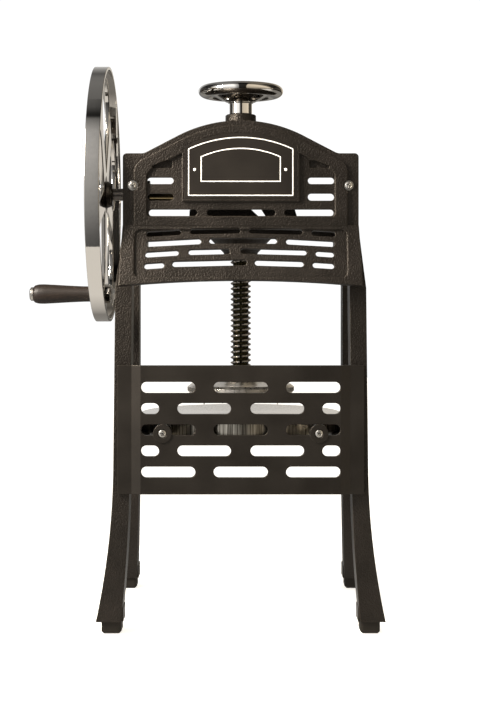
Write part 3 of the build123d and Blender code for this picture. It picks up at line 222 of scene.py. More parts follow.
def turnedWood(name, look):
    # Beech stained dark and lacquered: pores run along the grip as short dark strokes, the
    # stain is a little uneven, and the lacquer lies over them as a clear gloss.
    material, tree, shader = newMaterial(name, Roughness=look["roughness"], Specular_IOR_Level=0.2,
                                         Coat_Weight=look["lacquer"], Coat_Roughness=0.18)
    pores = addNode(tree, "ShaderNodeTexNoise", {
        "Vector": objectPoint(tree, (0.06, 1, 1)), "Scale": 1 / look["pore"],
        "Detail": 3, "Roughness": 0.65})
    figure = addNode(tree, "ShaderNodeTexNoise", {
        "Vector": objectPoint(tree, (0.15, 1, 1)), "Scale": 1 / look["figure"],
        "Detail": 2, "Distortion": 0.6})
    mottle = addNode(tree, "ShaderNodeMapRange", {
        "Value": figure, "From Min": 0.35, "From Max": 0.65, "To Min": 0, "To Max": 1})
    stain = addNode(tree, "ShaderNodeMix", {
        "Factor": mottle, "A": rgba(look["dark"]), "B": rgba(look["light"])},
        data_type="RGBA").node.outputs["Result"]
    stroke = addNode(tree, "ShaderNodeMapRange", {
        "Value": pores, "From Min": 0.58, "From Max": 0.68, "To Min": 0, "To Max": 0.7})
    colour = addNode(tree, "ShaderNodeMix", {
        "Factor": stroke, "A": stain, "B": rgba(look["poreColour"])},
        data_type="RGBA").node.outputs["Result"]
    tree.links.new(colour, shader.inputs["Base Color"])
    bump = addNode(tree, "ShaderNodeBump", {
        "Height": pores, "Strength": look["relief"], "Distance": look["poreDepth"]})
    tree.links.new(bump, shader.inputs["Normal"])
    return material


# the edge colours are lighter than the bodies: worn enamel and a painted highlight along the edges
castLook = {"dark": "#0e0c0a", "light": "#14110f", "edge": "#3c362e", "roughness": 0.40,
            "gloss": 0.27, "lump": 0.0011, "relief": 0.65, "edgeRadius": 0.0010, "edgeWearAndHighlight": 0.35}
panelLook = {"dark": "#0f0d0b", "light": "#12100e", "edge": "#2e2923", "roughness": 0.42,
             "gloss": 0.30, "lump": 0.0007, "relief": 0.08, "edgeRadius": 0.0007, "edgeWearAndHighlight": 0.3}
plateLook = {"dark": "#0d0b0a", "light": "#100e0c", "edge": "#2a251f", "roughness": 0.5,
             "gloss": 0.25, "lump": 0.0004, "relief": 0.04, "edgeRadius": 0.0003, "edgeWearAndHighlight": 0.3}
rubberLook = {"dark": "#14120f", "light": "#181613", "edge": "#24211e", "roughness": 0.7,
              "gloss": 0.25, "lump": 0.0005, "relief": 0.1, "edgeRadius": 0.0008, "edgeWearAndHighlight": 0.3}
chromeLook = {"colour": "#cac6c0", "roughness": 0.045, "grain": 0.003, "grainDepth": 0.02,
              "relief": 0.02}
satinLook = {"colour": "#cfcac2", "roughness": 0.33, "grain": 0.002, "stretch": (1, 1, 0.1),
             "grainDepth": 0.1}
zincLook = {"colour": "#aeaaa3", "roughness": 0.3}
gearLook = {"colour": "#6e6964", "roughness": 0.32, "grainDepth": 0.1}
bladeLook = {"colour": "#c8c8c8", "roughness": 0.15, "stretch": (40, 1, 1)}
bronzeLook = {"colour": "#7d6f52", "roughness": 0.13, "grainDepth": 0.03}
# the groove colour is painted shade in the thread's grooves
threadLook = {"colour": "#a8a198", "grooveShade": "#2b2719", "rootRadius": 0.0068, "crestRadius": 0.0082,
              "roughness": 0.3, "grain": 0.0012, "grainDepth": 0.12, "relief": 0.25}
collarLook = {"colour": "#4a4641", "roughness": 0.3, "grain": 0.0005, "stretch": (0.05, 1, 1)}
lineLook = {"Base_Color": rgba("#e9e5dc"), "Roughness": 0.5, "Specular_IOR_Level": 0.3}
tableLook = {"top": "#d2cec8", "topRoughness": 0.07, "rimDark": "#4f4a42", "rimLight": "#b5afa3",
             "rimRoughness": 0.32, "mark": 0.0011, "ring": 0.0009, "edgeRadius": 0.0008,
             "relief": 0.25, "toolDepth": 0.00008}
gripLook = {"dark": "#140f0b", "light": "#1c1510", "poreColour": "#0e0a07", "roughness": 0.5,
            "lacquer": 0.02, "pore": 0.0005, "figure": 0.004, "relief": 0.12, "poreDepth": 0.0001}

# black finishes: crinkled on the castings, smoother on the panel, the plate and the feet
castBlack = castIron("sandCastEnamel", castLook)
satinBlack = castIron("powderCoatedSteel", panelLook)
plateBlack = castIron("anodisedAluminiumPlate", plateLook)
rubber = castIron("mouldedRubber", rubberLook)
# metals: a clear mirror on the wheels, a milky one on the disc, grey steel, a golden bush
chrome = polishedMetal("chromePlate", chromeLook)
satinChrome = polishedMetal("satinChromePlate", satinLook)
zinc = polishedMetal("zincPlatedSteel", zincLook)
gearSteel = polishedMetal("machinedSteel", gearLook)
collarSteel = polishedMetal("blackenedSteel", collarLook)
bladeSteel = polishedMetal("groundToolSteel", bladeLook)
bronze = polishedMetal("sinteredBronze", bronzeLook)
# the thread's material carries painted shade in its grooves and a painted highlight on its crests
threadSteel = threadWithPaintedShade("rolledSteelPaintedGrooveShade", threadLook)
tableMetal = turnedTable("turnedAluminium", tableLook)
beech = turnedWood("stainedBeech", gripLook)
whitePrint = newMaterial("paleScreenPrint", **lineLook)[0]   # matt off-white lines and dots

finish = {"cast_black": castBlack, "panel_black": satinBlack, "plate_black": plateBlack,
          "chrome": chrome, "screw_steel": zinc, "thread_steel": threadSteel,
          "gear_steel": gearSteel, "bronze": bronze, "table_metal": tableMetal,
          "blade_steel": bladeSteel, "grip_wood": beech, "rubber": rubber}

for part in frame["record"]["subparts"]:
    mesh = nodes[part["node"]].data
    mesh.materials.clear()
    mesh.materials.append(finish[part["material_slot"]])
nodes["ice_clamp_disc"].data.materials[0] = satinChrome   # its plating is milkier
print("CAD nodes dressed:", len(nodes))


# Making pieces

sharpAngle = 38   # degrees between two faces from which their edge stays hard


def addPiece(name, mesh, material, body, stands=(), sharpFrom=sharpAngle):
    mesh.materials.clear()
    mesh.materials.append(material)
    mesh.shade_smooth()
    mesh.set_sharp_from_angle(angle=radians(sharpFrom))
    piece = bpy.data.objects.new(name, mesh)
    bpy.context.scene.collection.objects.link(piece)
    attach(piece, body)
    if stands:
        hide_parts(*stands)
    return piece


def rounded(corners, radius, steps=3):
    # cuts each corner of a line back by radius and puts a soft curve there
    longestShare, hold = 0.4, 1.2
    line = []
    last = len(corners) - 1
    for i, corner in enumerate(corners):
        here = Vector(corner)
        if i in (0, last):
            line.append(here)
            continue
        before, after = Vector(corners[i - 1]), Vector(corners[i + 1])
        shorter = min((here - before).length, (after - here).length)
        reach = min(radius, shorter * longestShare)
        start, end = (before - here).normalized() * reach, (after - here).normalized() * reach
        # a narrow strip on either side keeps the flats flat under smooth shading
        line.append(here + start * hold)
        for k in range(steps + 1):
            t = k / steps
            line.append(here + start * (1 - t) ** 2 + end * t ** 2)
        line.append(here + end * hold)
    return line


def finished(build):
    # closes seams, turns the faces outwards and gives a plain mesh
    bmesh.ops.remove_doubles(build, verts=build.verts, dist=1e-7)
    bmesh.ops.recalc_face_normals(build, faces=build.faces)
    mesh = bpy.data.meshes.new("built")
    build.to_mesh(mesh)
    build.free()
    return mesh


# the axis that a piece is turned on gives the order of its coordinates
turnedPoint = {"X": lambda along, a, b: (along, a, b), "Y": lambda along, a, b: (a, along, b),
               "Z": lambda along, a, b: (a, b, along)}


def lathe(shells, centre, axis="Z", steps=96):
    # turns lines of (radius, place along the axis), in mm, into one mesh
    build = bmesh.new()
    for line in shells:
        rings = []
        for k in range(steps):
            turn = 2 * pi * k / steps
            ring = []
            for radius, along in line:
                offset = turnedPoint[axis](along, radius * cos(turn), radius * sin(turn))
                ring.append(build.verts.new(place(*(Vector(centre) + Vector(offset)))))
            rings.append(ring)
        for k in range(steps):
            here, there = rings[k], rings[(k + 1) % steps]
            for i in range(len(line) - 1):
                build.faces.new((here[i], here[i + 1], there[i + 1], there[i]))
    return finished(build)


def plainMesh(holder):
    # the holder with its modifiers or its curve, as one plain mesh
    graph = bpy.context.evaluated_depsgraph_get()
    mesh = bpy.data.meshes.new_from_object(holder.evaluated_get(graph))
    bpy.data.objects.remove(holder)
    build = bmesh.new()
    build.from_mesh(mesh)
    return finished(build)


def heldBy(data):
    holder = bpy.data.objects.new("holder", data)
    bpy.context.scene.collection.objects.link(holder)
    return holder


def grow(tree, sizes, start):
    # runs a node tree on a mesh; its inputs are set before the first evaluation
    holder = heldBy(start)
    modifier = holder.modifiers.new("grow", "NODES")
    modifier.node_group = tree
    for item in tree.interface.items_tree:
        if item.in_out == "INPUT" and item.name in sizes:
            modifier[item.identifier] = sizes[item.name]
    return plainMesh(holder)


def sizedTree(name, sizes):
    # an empty tree with a geometry input and one named number for each size
    tree = bpy.data.node_groups.new(name, "GeometryNodeTree")
    tree.interface.new_socket("Geometry", in_out="INPUT", socket_type="NodeSocketGeometry")
    for label, value in sizes.items():
        kind = "NodeSocketInt" if isinstance(value, int) else "NodeSocketFloat"
        socket = tree.interface.new_socket(label, in_out="INPUT", socket_type=kind)
        socket.default_value = value
    tree.interface.new_socket("Geometry", in_out="OUTPUT", socket_type="NodeSocketGeometry")
    return tree, tree.nodes.new("NodeGroupInput").outputs


# Feed screw

feedScrew = {"Outer radius": 8.3, "Root radius": 6.35, "Pitch": 4.3, "Bottom": 178.5,
             "Thread bottom": 199.0, "Thread top": 368.0, "Top": 422.0,
             "Groove share": 0.16, "Crest share": 0.42,   # of a pitch, from the groove's middle
             "Keyway half width": 0.8, "Keyway depth": 2.2, "Rows": 400, "Columns": 96}


def threadTree():
    # a flat grid rolled round the spindle: X goes once round it and Y goes up
    tree, size = sizedTree("feedThread", feedScrew)
    columns = addNode(tree, "ShaderNodeMath", {0: size["Columns"], 1: 1.0}, operation="ADD")
    grid = addNode(tree, "GeometryNodeMeshGrid", {
        "Size X": 1.0, "Size Y": 1.0, "Vertices X": columns, "Vertices Y": size["Rows"]})
    spot = addNode(tree, "ShaderNodeSeparateXYZ", {
        "Vector": addNode(tree, "GeometryNodeInputPosition")}).node.outputs
    angle = addNode(tree, "ShaderNodeMath", {0: spot["X"], 1: 2 * pi}, operation="MULTIPLY")
    upward = addNode(tree, "ShaderNodeMath", {0: spot["Y"], 1: 0.5}, operation="ADD")
    lastRow = addNode(tree, "ShaderNodeMath", {0: size["Rows"], 1: 1.0}, operation="SUBTRACT")
    row = addNode(tree, "ShaderNodeMath", {0: upward, 1: lastRow}, operation="MULTIPLY")
    # rows 0 and 1 are the lower end, 2 and the third from last the ends of the thread
    threadLast = addNode(tree, "ShaderNodeMath", {0: lastRow, 1: 3.0}, operation="SUBTRACT")
    height = addNode(tree, "ShaderNodeMapRange", {
        "Value": row, "From Min": 3.0, "From Max": threadLast,
        "To Min": size["Thread bottom"], "To Max": size["Thread top"]})
    low = addNode(tree, "ShaderNodeMath", {0: row, 1: 1.5}, operation="LESS_THAN")
    highRow = addNode(tree, "ShaderNodeMath", {0: lastRow, 1: 1.5}, operation="SUBTRACT")
    high = addNode(tree, "ShaderNodeMath", {0: row, 1: highRow}, operation="GREATER_THAN")
    height = addNode(tree, "ShaderNodeMix", {"Factor": low, "A": height, "B": size["Bottom"]})
    height = addNode(tree, "ShaderNodeMix", {"Factor": high, "A": height, "B": size["Top"]})
    # the crest climbs one pitch per turn, to the right as seen from outside
    turns = addNode(tree, "ShaderNodeMath", {0: height, 1: size["Pitch"]}, operation="DIVIDE")
    phase = addNode(tree, "ShaderNodeMath", {0: turns, 1: spot["X"]}, operation="SUBTRACT")
    share = addNode(tree, "ShaderNodeMath", {0: phase}, operation="FRACT")
    middle = addNode(tree, "ShaderNodeMath", {0: share, 1: 0.5}, operation="SUBTRACT")
    fromMiddle = addNode(tree, "ShaderNodeMath", {0: middle}, operation="ABSOLUTE")
    flank = addNode(tree, "ShaderNodeMapRange", {
        "Value": fromMiddle, "From Min": size["Groove share"], "From Max": size["Crest share"],
        "To Min": 0.0, "To Max": 1.0}, interpolation_type="SMOOTHSTEP")
    cut = addNode(tree, "ShaderNodeMix", {
        "Factor": flank, "A": size["Root radius"], "B": size["Outer radius"]})
    betweenEnds = []
    for endRows in (2.5, 0.5):
        # 1 on the rows between the given ends, 0 on the others
        topRow = addNode(tree, "ShaderNodeMath", {0: lastRow, 1: endRows}, operation="SUBTRACT")
        fromLow = addNode(tree, "ShaderNodeMath", {0: row, 1: endRows}, operation="GREATER_THAN")
        toHigh = addNode(tree, "ShaderNodeMath", {0: row, 1: topRow}, operation="LESS_THAN")
        betweenEnds.append(addNode(tree, "ShaderNodeMath", {0: fromLow, 1: toHigh},
                                   operation="MULTIPLY"))
    inside, uncapped = betweenEnds   # where the thread is, and all but the two points of the caps
    radius = addNode(tree, "ShaderNodeMix", {
        "Factor": inside, "A": size["Outer radius"], "B": cut})
    radius = addNode(tree, "ShaderNodeMath", {0: radius, 1: uncapped}, operation="MULTIPLY")
    across = addNode(tree, "ShaderNodeMath", {
        0: radius, 1: addNode(tree, "ShaderNodeMath", {0: angle}, operation="SINE")},
        operation="MULTIPLY")
    frontward = addNode(tree, "ShaderNodeMath", {
        0: radius, 1: addNode(tree, "ShaderNodeMath", {0: angle}, operation="COSINE")},
        operation="MULTIPLY")
    # keyway: in the slot's width, a point lies no further forward than the slot's floor
    offMiddle = addNode(tree, "ShaderNodeMath", {0: across}, operation="ABSOLUTE")
    inWidth = addNode(tree, "ShaderNodeMath", {0: offMiddle, 1: size["Keyway half width"]},
                      operation="LESS_THAN")
    inSlot = addNode(tree, "ShaderNodeMath", {0: inWidth, 1: inside}, operation="MULTIPLY")
    floor = addNode(tree, "ShaderNodeMath", {0: size["Outer radius"], 1: size["Keyway depth"]},
                    operation="SUBTRACT")
    floored = addNode(tree, "ShaderNodeMath", {0: frontward, 1: floor}, operation="MINIMUM")
    frontward = addNode(tree, "ShaderNodeMix", {"Factor": inSlot, "A": frontward, "B": floored})
    depth = addNode(tree, "ShaderNodeMath", {0: frontward, 1: -1.0}, operation="MULTIPLY")
    spotNow = addNode(tree, "ShaderNodeCombineXYZ", {"X": across, "Y": depth, "Z": height})
    metres = addNode(tree, "ShaderNodeVectorMath", {0: spotNow, "Scale": mm}, operation="SCALE")
    onSpindle = addNode(tree, "ShaderNodeVectorMath", {0: metres, 1: (spindleX, 0, 0)},
                        operation="ADD")
    shaped = addNode(tree, "GeometryNodeSetPosition", {"Geometry": grid, "Position": onSpindle})
    closed = addNode(tree, "GeometryNodeMergeByDistance", {"Geometry": shaped, "Distance": 1e-5})
    smooth = addNode(tree, "GeometryNodeSetShadeSmooth", {"Geometry": closed, "Shade Smooth": True})
    plain = addNode(tree, "GeometryNodeRealizeInstances", {"Geometry": smooth})
    dressed = addNode(tree, "GeometryNodeSetMaterial", {"Geometry": plain, "Material": threadSteel})
    addNode(tree, "NodeGroupOutput", {"Geometry": dressed})
    return tree


thread = grow(threadTree(), feedScrew, bpy.data.meshes.new("start"))
addPiece("threadedFeedScrew", thread, threadSteel, "feed_screw", ["feed_screw"])
print("feed screw cut:", len(thread.polygons), "faces")


# Cross-recess screws

panHead = {"Head radius": 2.8, "Head height": 1.6, "Shank radius": 1.6, "Shank length": 14.0,
           "Washer radius": 1.6, "Washer thickness": 0.1, "Crown drop": 0.45, "Recess width": 0.9,
           "Recess reach": 1.9, "Recess depth": 1.2, "Seed": 3}


def screwTree():
    # one screw with its head up, copied to every point and turned as the point's "turn" says
    tree, size = sizedTree("crossRecessScrew", panHead)
    head = addNode(tree, "GeometryNodeMeshCylinder", {
        "Vertices": 28, "Fill Segments": 5, "Radius": size["Head radius"],
        "Depth": size["Head height"]}, fill_type="TRIANGLE_FAN")
    half = addNode(tree, "ShaderNodeMath", {0: size["Head height"], 1: 0.5}, operation="MULTIPLY")
    lift = addNode(tree, "ShaderNodeCombineXYZ", {"Z": half})
    head = addNode(tree, "GeometryNodeTransform", {"Geometry": head, "Translation": lift})
    # the top drops towards its rim with the cube of the way out, which gives it a crown
    where = addNode(tree, "GeometryNodeInputPosition")
    flat = addNode(tree, "ShaderNodeVectorMath", {0: where, 1: (1, 1, 0)}, operation="MULTIPLY")
    outward = addNode(tree, "ShaderNodeVectorMath", {0: flat},
                      operation="LENGTH").node.outputs["Value"]
    share = addNode(tree, "ShaderNodeMath", {0: outward, 1: size["Head radius"]},
                    operation="DIVIDE")
    cubed = addNode(tree, "ShaderNodeMath", {0: share, 1: 3.0}, operation="POWER")
    drop = addNode(tree, "ShaderNodeMath", {0: cubed, 1: size["Crown drop"]}, operation="MULTIPLY")
    down = addNode(tree, "ShaderNodeCombineXYZ", {
        "Z": addNode(tree, "ShaderNodeMath", {0: drop, 1: -1.0}, operation="MULTIPLY")})
    above = addNode(tree, "ShaderNodeMath", {
        0: addNode(tree, "ShaderNodeSeparateXYZ", {"Vector": where}).node.outputs["Z"], 1: half},
        operation="GREATER_THAN")
    head = addNode(tree, "GeometryNodeSetPosition", {
        "Geometry": head, "Selection": above, "Offset": down})
    # two crossed bars sunk in the top cut the recess
    reach = addNode(tree, "ShaderNodeMath", {0: size["Recess reach"], 1: 2.0},
                    operation="MULTIPLY")
    deep = addNode(tree, "ShaderNodeMath", {0: size["Recess depth"], 1: 2.0}, operation="MULTIPLY")
    atTop = addNode(tree, "ShaderNodeCombineXYZ", {"Z": size["Head height"]})
    arms = []
    for turn in (0.0, pi / 2):
        arm = addNode(tree, "GeometryNodeMeshCube", {
            "Size": addNode(tree, "ShaderNodeCombineXYZ", {
                "X": reach, "Y": size["Recess width"], "Z": deep})})
        arms.append(addNode(tree, "GeometryNodeTransform", {
            "Geometry": arm, "Translation": atTop, "Rotation": (0, 0, turn)}))
    head = addNode(tree, "GeometryNodeMeshBoolean", {"Mesh 1": head, "Mesh 2": arms},
                   operation="DIFFERENCE")
    bodies = [head]
    for radius, length in (("Shank radius", "Shank length"),
                           ("Washer radius", "Washer thickness")):
        bar = addNode(tree, "GeometryNodeMeshCylinder", {
            "Vertices": 24, "Radius": size[radius], "Depth": size[length]})
        down = addNode(tree, "ShaderNodeMath", {0: size[length], 1: -0.5}, operation="MULTIPLY")
        bodies.append(addNode(tree, "GeometryNodeTransform", {
            "Geometry": bar, "Translation": addNode(tree, "ShaderNodeCombineXYZ", {"Z": down})}))
    screw = addNode(tree, "GeometryNodeJoinGeometry", {"Geometry": bodies})
    # chance turns each screw's recess its own way
    spin = addNode(tree, "FunctionNodeRandomValue", {"Seed": size["Seed"]}).node
    spun = addNode(tree, "ShaderNodeMath", {0: spin.outputs[1], 1: pi / 2}, operation="MULTIPLY")
    turn = addNode(tree, "GeometryNodeInputNamedAttribute", {"Name": "turn"},
                   data_type="FLOAT_VECTOR")
    placed = addNode(tree, "GeometryNodeInstanceOnPoints", {
        "Points": size["Geometry"], "Instance": screw, "Rotation": turn, "Scale": (mm, mm, mm)})
    placed = addNode(tree, "GeometryNodeRotateInstances", {
        "Instances": placed, "Rotation": addNode(tree, "ShaderNodeCombineXYZ", {"Z": spun}),
        "Local Space": True})
    plain = addNode(tree, "GeometryNodeRealizeInstances", {"Geometry": placed})
    dressed = addNode(tree, "GeometryNodeSetMaterial", {"Geometry": plain, "Material": zinc})
    addNode(tree, "NodeGroupOutput", {"Geometry": dressed})
    return tree


def pointsAt(seats):
    # one vertex for each seat, which remembers how its screw is turned
    mesh = bpy.data.meshes.new("seats")
    mesh.from_pydata([place(*spot) for spot, _ in seats], [], [])
    turns = mesh.attributes.new("turn", "FLOAT_VECTOR", "POINT")
    for value, (_, turn) in zip(turns.data, seats):
        value.vector = turn
    return mesh


toFront, toTop, toFloor = (pi / 2, 0, 0), (0, 0, 0), (pi, 0, 0)
toLeft, toRight = (0, -pi / 2, 0), (0, pi / 2, 0)
sides = (-1, 1)
# for each node of screws: where each stands and which way its head looks, then its sizes
screwGroups = {
    "head_screws": ([((side * 82, -84.6, 340), toFront) for side in sides],
                    {"Shank length": 14.1, "Washer radius": 3.75, "Washer thickness": 0.6}),
    "panel_screws": ([((side * 59.4, -86.0, 151.8), toFront) for side in sides],
                     {"Shank length": 15.5}),
    "bridge_screws": ([((sx * 79.2, sy * 10, 311.5), toTop) for sx in sides for sy in sides],
                      {"Shank length": 14.5}),
    "yoke_screws": ([((x, y, 315.5), toTop) for x, y in ((-37, 4), (42, 4), (18, 10))],
                    {"Shank length": 10.0}),
    "table_screws": ([((sx * 76.4, sy * 14, 139), toFloor) for sx in sides for sy in sides],
                     {"Shank length": 15.0}),
    "roof_screws": ([((side * 74, y, 357.5), toLeft if side > 0 else toRight)
                     for side in sides for y in (-50, 5)], {"Shank length": 13.1}),
    "retainer_screws": ([((18.8 * cos(radians(a)), 18.8 * sin(radians(a)), 360.25), toFloor)
                         for a in (90, 210, 330)], {"Shank length": 15.75}),
    "foot_screws": ([((side * 98.2, y, 4.4), toFloor) for side in sides for y in (-76, 92)],
                    {"Shank length": 18.8, "Shank radius": 2.0, "Head radius": 3.6,
                     "Head height": 2.4, "Recess reach": 2.2, "Recess width": 0.8}),
}
crossRecess = screwTree()
for node, (seats, sizes) in screwGroups.items():
    mesh = grow(crossRecess, {**panHead, **sizes}, pointsAt(seats))
    addPiece("crossRecess." + node, mesh, zinc, "frame", [node])
print("screws driven:", sum(len(seats) for seats, _ in screwGroups.values()))


# Nameplate trim

plateTrim = {"front": 86.35, "back": 86.0, "lineWidth": 0.7,
             "outer": {"half": 39.5, "bottom": 332.4, "spring": 367.5, "peak": 376.3},
             "inner": {"half": 30.0, "bottom": 343.0, "spring": 361.6, "peak": 368.0},
             "rivetRadius": 1.1, "rivetFront": 86.2, "rivetHeight": 351.9,
             "rivetSpots": {"left": -35.0, "right": 34.2}}


def archOutline(half, bottom, spring, peak, steps=24):
    # a box with an arc for its top, as points (x, z) from its lower left corner round
    rise = peak - spring
    radius = (half ** 2 + rise ** 2) / (2 * rise)
    reach = asin(half / radius)
    arc = [(radius * sin(reach - 2 * reach * k / steps),
            peak - radius + radius * cos(reach - 2 * reach * k / steps)) for k in range(steps + 1)]
    return [(-half, bottom), (half, bottom)] + arc


def raisedLine(build, outline, width, front, back):
    # a closed ridge of rectangular section along the outline, mitred at its corners
    rings = []
    for i, here in enumerate(outline):
        here, before = Vector(here), Vector(outline[i - 1])
        after = Vector(outline[(i + 1) % len(outline)])
        first, second = (here - before).normalized(), (after - here).normalized()
        normals = Vector((first.y, -first.x)) + Vector((second.y, -second.x))
        mitre = normals / (1 + first.dot(second)) * width / 2
        outer, inner = here + mitre, here - mitre
        rings.append([build.verts.new(place(at.x, -depth, at.y)) for at, depth in (
            (outer, front), (inner, front), (inner, back), (outer, back))])
    for ring, follow in zip(rings, rings[1:] + rings[:1]):
        for k in range(4):
            build.faces.new((ring[k], ring[(k + 1) % 4], follow[(k + 1) % 4], follow[k]))


trim = bmesh.new()
for line in ("outer", "inner"):
    raisedLine(trim, archOutline(**plateTrim[line]), plateTrim["lineWidth"],
               plateTrim["front"], plateTrim["back"])
addPiece("nameplateBorder", finished(trim), whitePrint, "frame")

rivet = plateTrim["rivetRadius"]
dome = [(0, -0.45), (rivet * 0.6, -0.4), (rivet, -0.15), (rivet, 0.2), (0, 0.2)]
for label, x in plateTrim["rivetSpots"].items():
    spot = (x, -plateTrim["rivetFront"], plateTrim["rivetHeight"])
    addPiece("nameplateRivet." + label, lathe([dome], spot, "Y", 24), whitePrint,
             "frame")
print("nameplate trimmed")


# Flywheel

# an outline is a list of (radius, place along the shaft), and its edge is how far its
# corners are cut back
flywheel = {"axisZ": 338.0, "left": -117.2, "right": -105.9, "radius": 103.4, "inner": 100.8,
            "edge": 0.4, "webX": -111.55, "webHalf": 2.0, "webEdge": 0.8, "webInRim": 0.6,
            "webSharpAngle": 12, "openings": 5, "wideAt": 65.0, "wideRadius": 29.5,
            "tipAt": 21.0, "tipRadius": 3.0,
            "hub": [(5.0, -117.2), (12.0, -117.2), (12.6, -113.7), (16.0, -113.3),
                    (16.0, -109.6), (11.0, -109.2), (10.0, -105.8), (5.0, -105.8)],
            "hubEdge": 0.8,
            "collar": [(5.0, -106.4), (9.6, -106.4), (9.6, -104.9), (9.0, -104.3), (5.0, -104.3)],
            "collarEdge": 0.4,
            "boss": [(3.1, -118.1), (7.5, -118.1), (7.5, -105.55), (3.1, -105.55)],
            "bossEdge": 0.7, "bossZ": 257.0}


def closedLoop(corners, radius, steps=4):
    # a closed line with all its corners rounded
    middle = ((corners[0][0] + corners[-1][0]) / 2, (corners[0][1] + corners[-1][1]) / 2)
    return rounded([middle, *corners, middle], radius, steps)


def dropOutline(turn, wideSteps=40, tipSteps=12):
    # outline of one opening: two arcs and the straight sides that touch both
    wide, wideRadius = flywheel["wideAt"], flywheel["wideRadius"]
    tip, tipRadius = flywheel["tipAt"], flywheel["tipRadius"]
    touch = pi - asin(sqrt(1 - ((wideRadius - tipRadius) / (wide - tip)) ** 2))
    line = []
    for k in range(wideSteps + 1):
        a = -touch + 2 * touch * k / wideSteps
        line.append((wide + wideRadius * cos(a), wideRadius * sin(a)))
    for k in range(tipSteps + 1):
        a = touch + 2 * (pi - touch) * k / tipSteps
        line.append((tip + tipRadius * cos(a), tipRadius * sin(a)))
    return [(u * cos(turn) - v * sin(turn), u * sin(turn) + v * cos(turn)) for u, v in line]


def webMesh(rimSteps=160):
    # a filled curve with its openings and a soft edge, stood up across the shaft
    curve = bpy.data.curves.new("web", "CURVE")
    curve.dimensions = "2D"
    curve.fill_mode = "BOTH"
    softEdge = flywheel["webEdge"]
    curve.extrude = (flywheel["webHalf"] - softEdge) * mm
    curve.bevel_depth = softEdge * mm
    curve.bevel_resolution = 2
    curve.offset = -softEdge * mm
    rim = flywheel["inner"] + flywheel["webInRim"]
    around = [2 * pi * k / rimSteps for k in range(rimSteps)]
    rimLine = [(rim * cos(a), rim * sin(a)) for a in around]
    turns = [pi / 2 + 2 * pi * k / flywheel["openings"] for k in range(flywheel["openings"])]
    for outline in [rimLine] + [dropOutline(turn) for turn in turns]:
        spline = curve.splines.new("POLY")
        spline.points.add(len(outline) - 1)
        for point, (u, v) in zip(spline.points, outline):
            point.co = (u * mm, v * mm, 0, 1)
        spline.use_cyclic_u = True
    mesh = plainMesh(heldBy(curve))
    stand = Matrix(((0, 0, 1), (1, 0, 0), (0, 1, 0))).to_4x4()
    mesh.transform(Matrix.Translation(place(flywheel["webX"], 0, flywheel["axisZ"])) @ stand)
    return mesh


rimOut, rimIn = flywheel["radius"], flywheel["inner"]
rimLeft, rimRight = flywheel["left"], flywheel["right"]
rimProfile = closedLoop([(rimOut, rimLeft), (rimOut, rimRight), (rimIn, rimRight),
                         (rimIn, rimLeft)], flywheel["edge"])
hubProfile = closedLoop(flywheel["hub"], flywheel["hubEdge"])
collarProfile = closedLoop(flywheel["collar"], flywheel["collarEdge"])
bossProfile = closedLoop(flywheel["boss"], flywheel["bossEdge"])
shaftCentre, gripCentre = (0, 0, flywheel["axisZ"]), (0, 0, flywheel["bossZ"])
for label, mesh, material, slotName in (
        ("Rim", lathe([rimProfile], shaftCentre, "X", 240), chrome, "chrome"),
        ("Web", webMesh(), chrome, "chrome"),
        ("Hub", lathe([hubProfile], shaftCentre, "X", 96), collarSteel, "gear_steel"),
        ("HubCollar", lathe([collarProfile], shaftCentre, "X", 96), collarSteel, "gear_steel"),
        ("GripBoss", lathe([bossProfile], gripCentre, "X", 64), chrome, "chrome")):
    addPiece("flywheel" + label, mesh, material, "crank", ["flywheel"],
             sharpFrom=flywheel["webSharpAngle"] if label == "Web" else sharpAngle)
print("flywheel turned")


# Grip

# the outside is a list of (radius, place along the bolt), from the wheel outwards
grip = {"bore": 3.08, "edge": 2.5,
        "outside": [(5.3, -118.4), (6.2, -119.6), (6.3, -128.0), (6.8, -139.0), (7.5, -151.0),
                    (8.0, -160.5), (7.8, -165.0), (6.9, -167.9), (5.6, -168.8)]}
innerEnd, outerEnd = ((grip["bore"], grip["outside"][i][1]) for i in (0, -1))
gripProfile = closedLoop([innerEnd, *grip["outside"], outerEnd], grip["edge"], 5)
addPiece("turnedGrip", lathe([gripProfile], gripCentre, "X", 72), beech, "grip",
         ["grip"])
print("grip turned")


# Handwheel

# the dish is a list of (radius, height)
handwheel = {"ringRadius": 28.4, "ringZ": 422.0, "halfWidth": 6.2, "halfHeight": 5.0,
             "dish": [(8.3, 403.5), (9.2, 403.5), (9.2, 412.3), (10.4, 412.6), (10.4, 413.2),
                      (12.0, 413.5), (21.0, 417.9), (26.4, 419.0), (26.4, 423.0), (18.0, 421.1),
                      (11.5, 423.5), (8.3, 423.5)],
             "dishEdge": 0.5, "holeRadius": 3.4, "holeRing": 17.25, "holes": 4,
             "drillBottom": 410, "drillTop": 426}


def carved(mesh, cutter):
    # the mesh less the cutter
    holder, tool = heldBy(mesh), heldBy(cutter)
    cut = holder.modifiers.new("cut", "BOOLEAN")
    cut.object = tool
    cut.solver = "EXACT"
    result = plainMesh(holder)
    bpy.data.objects.remove(tool)
    return result


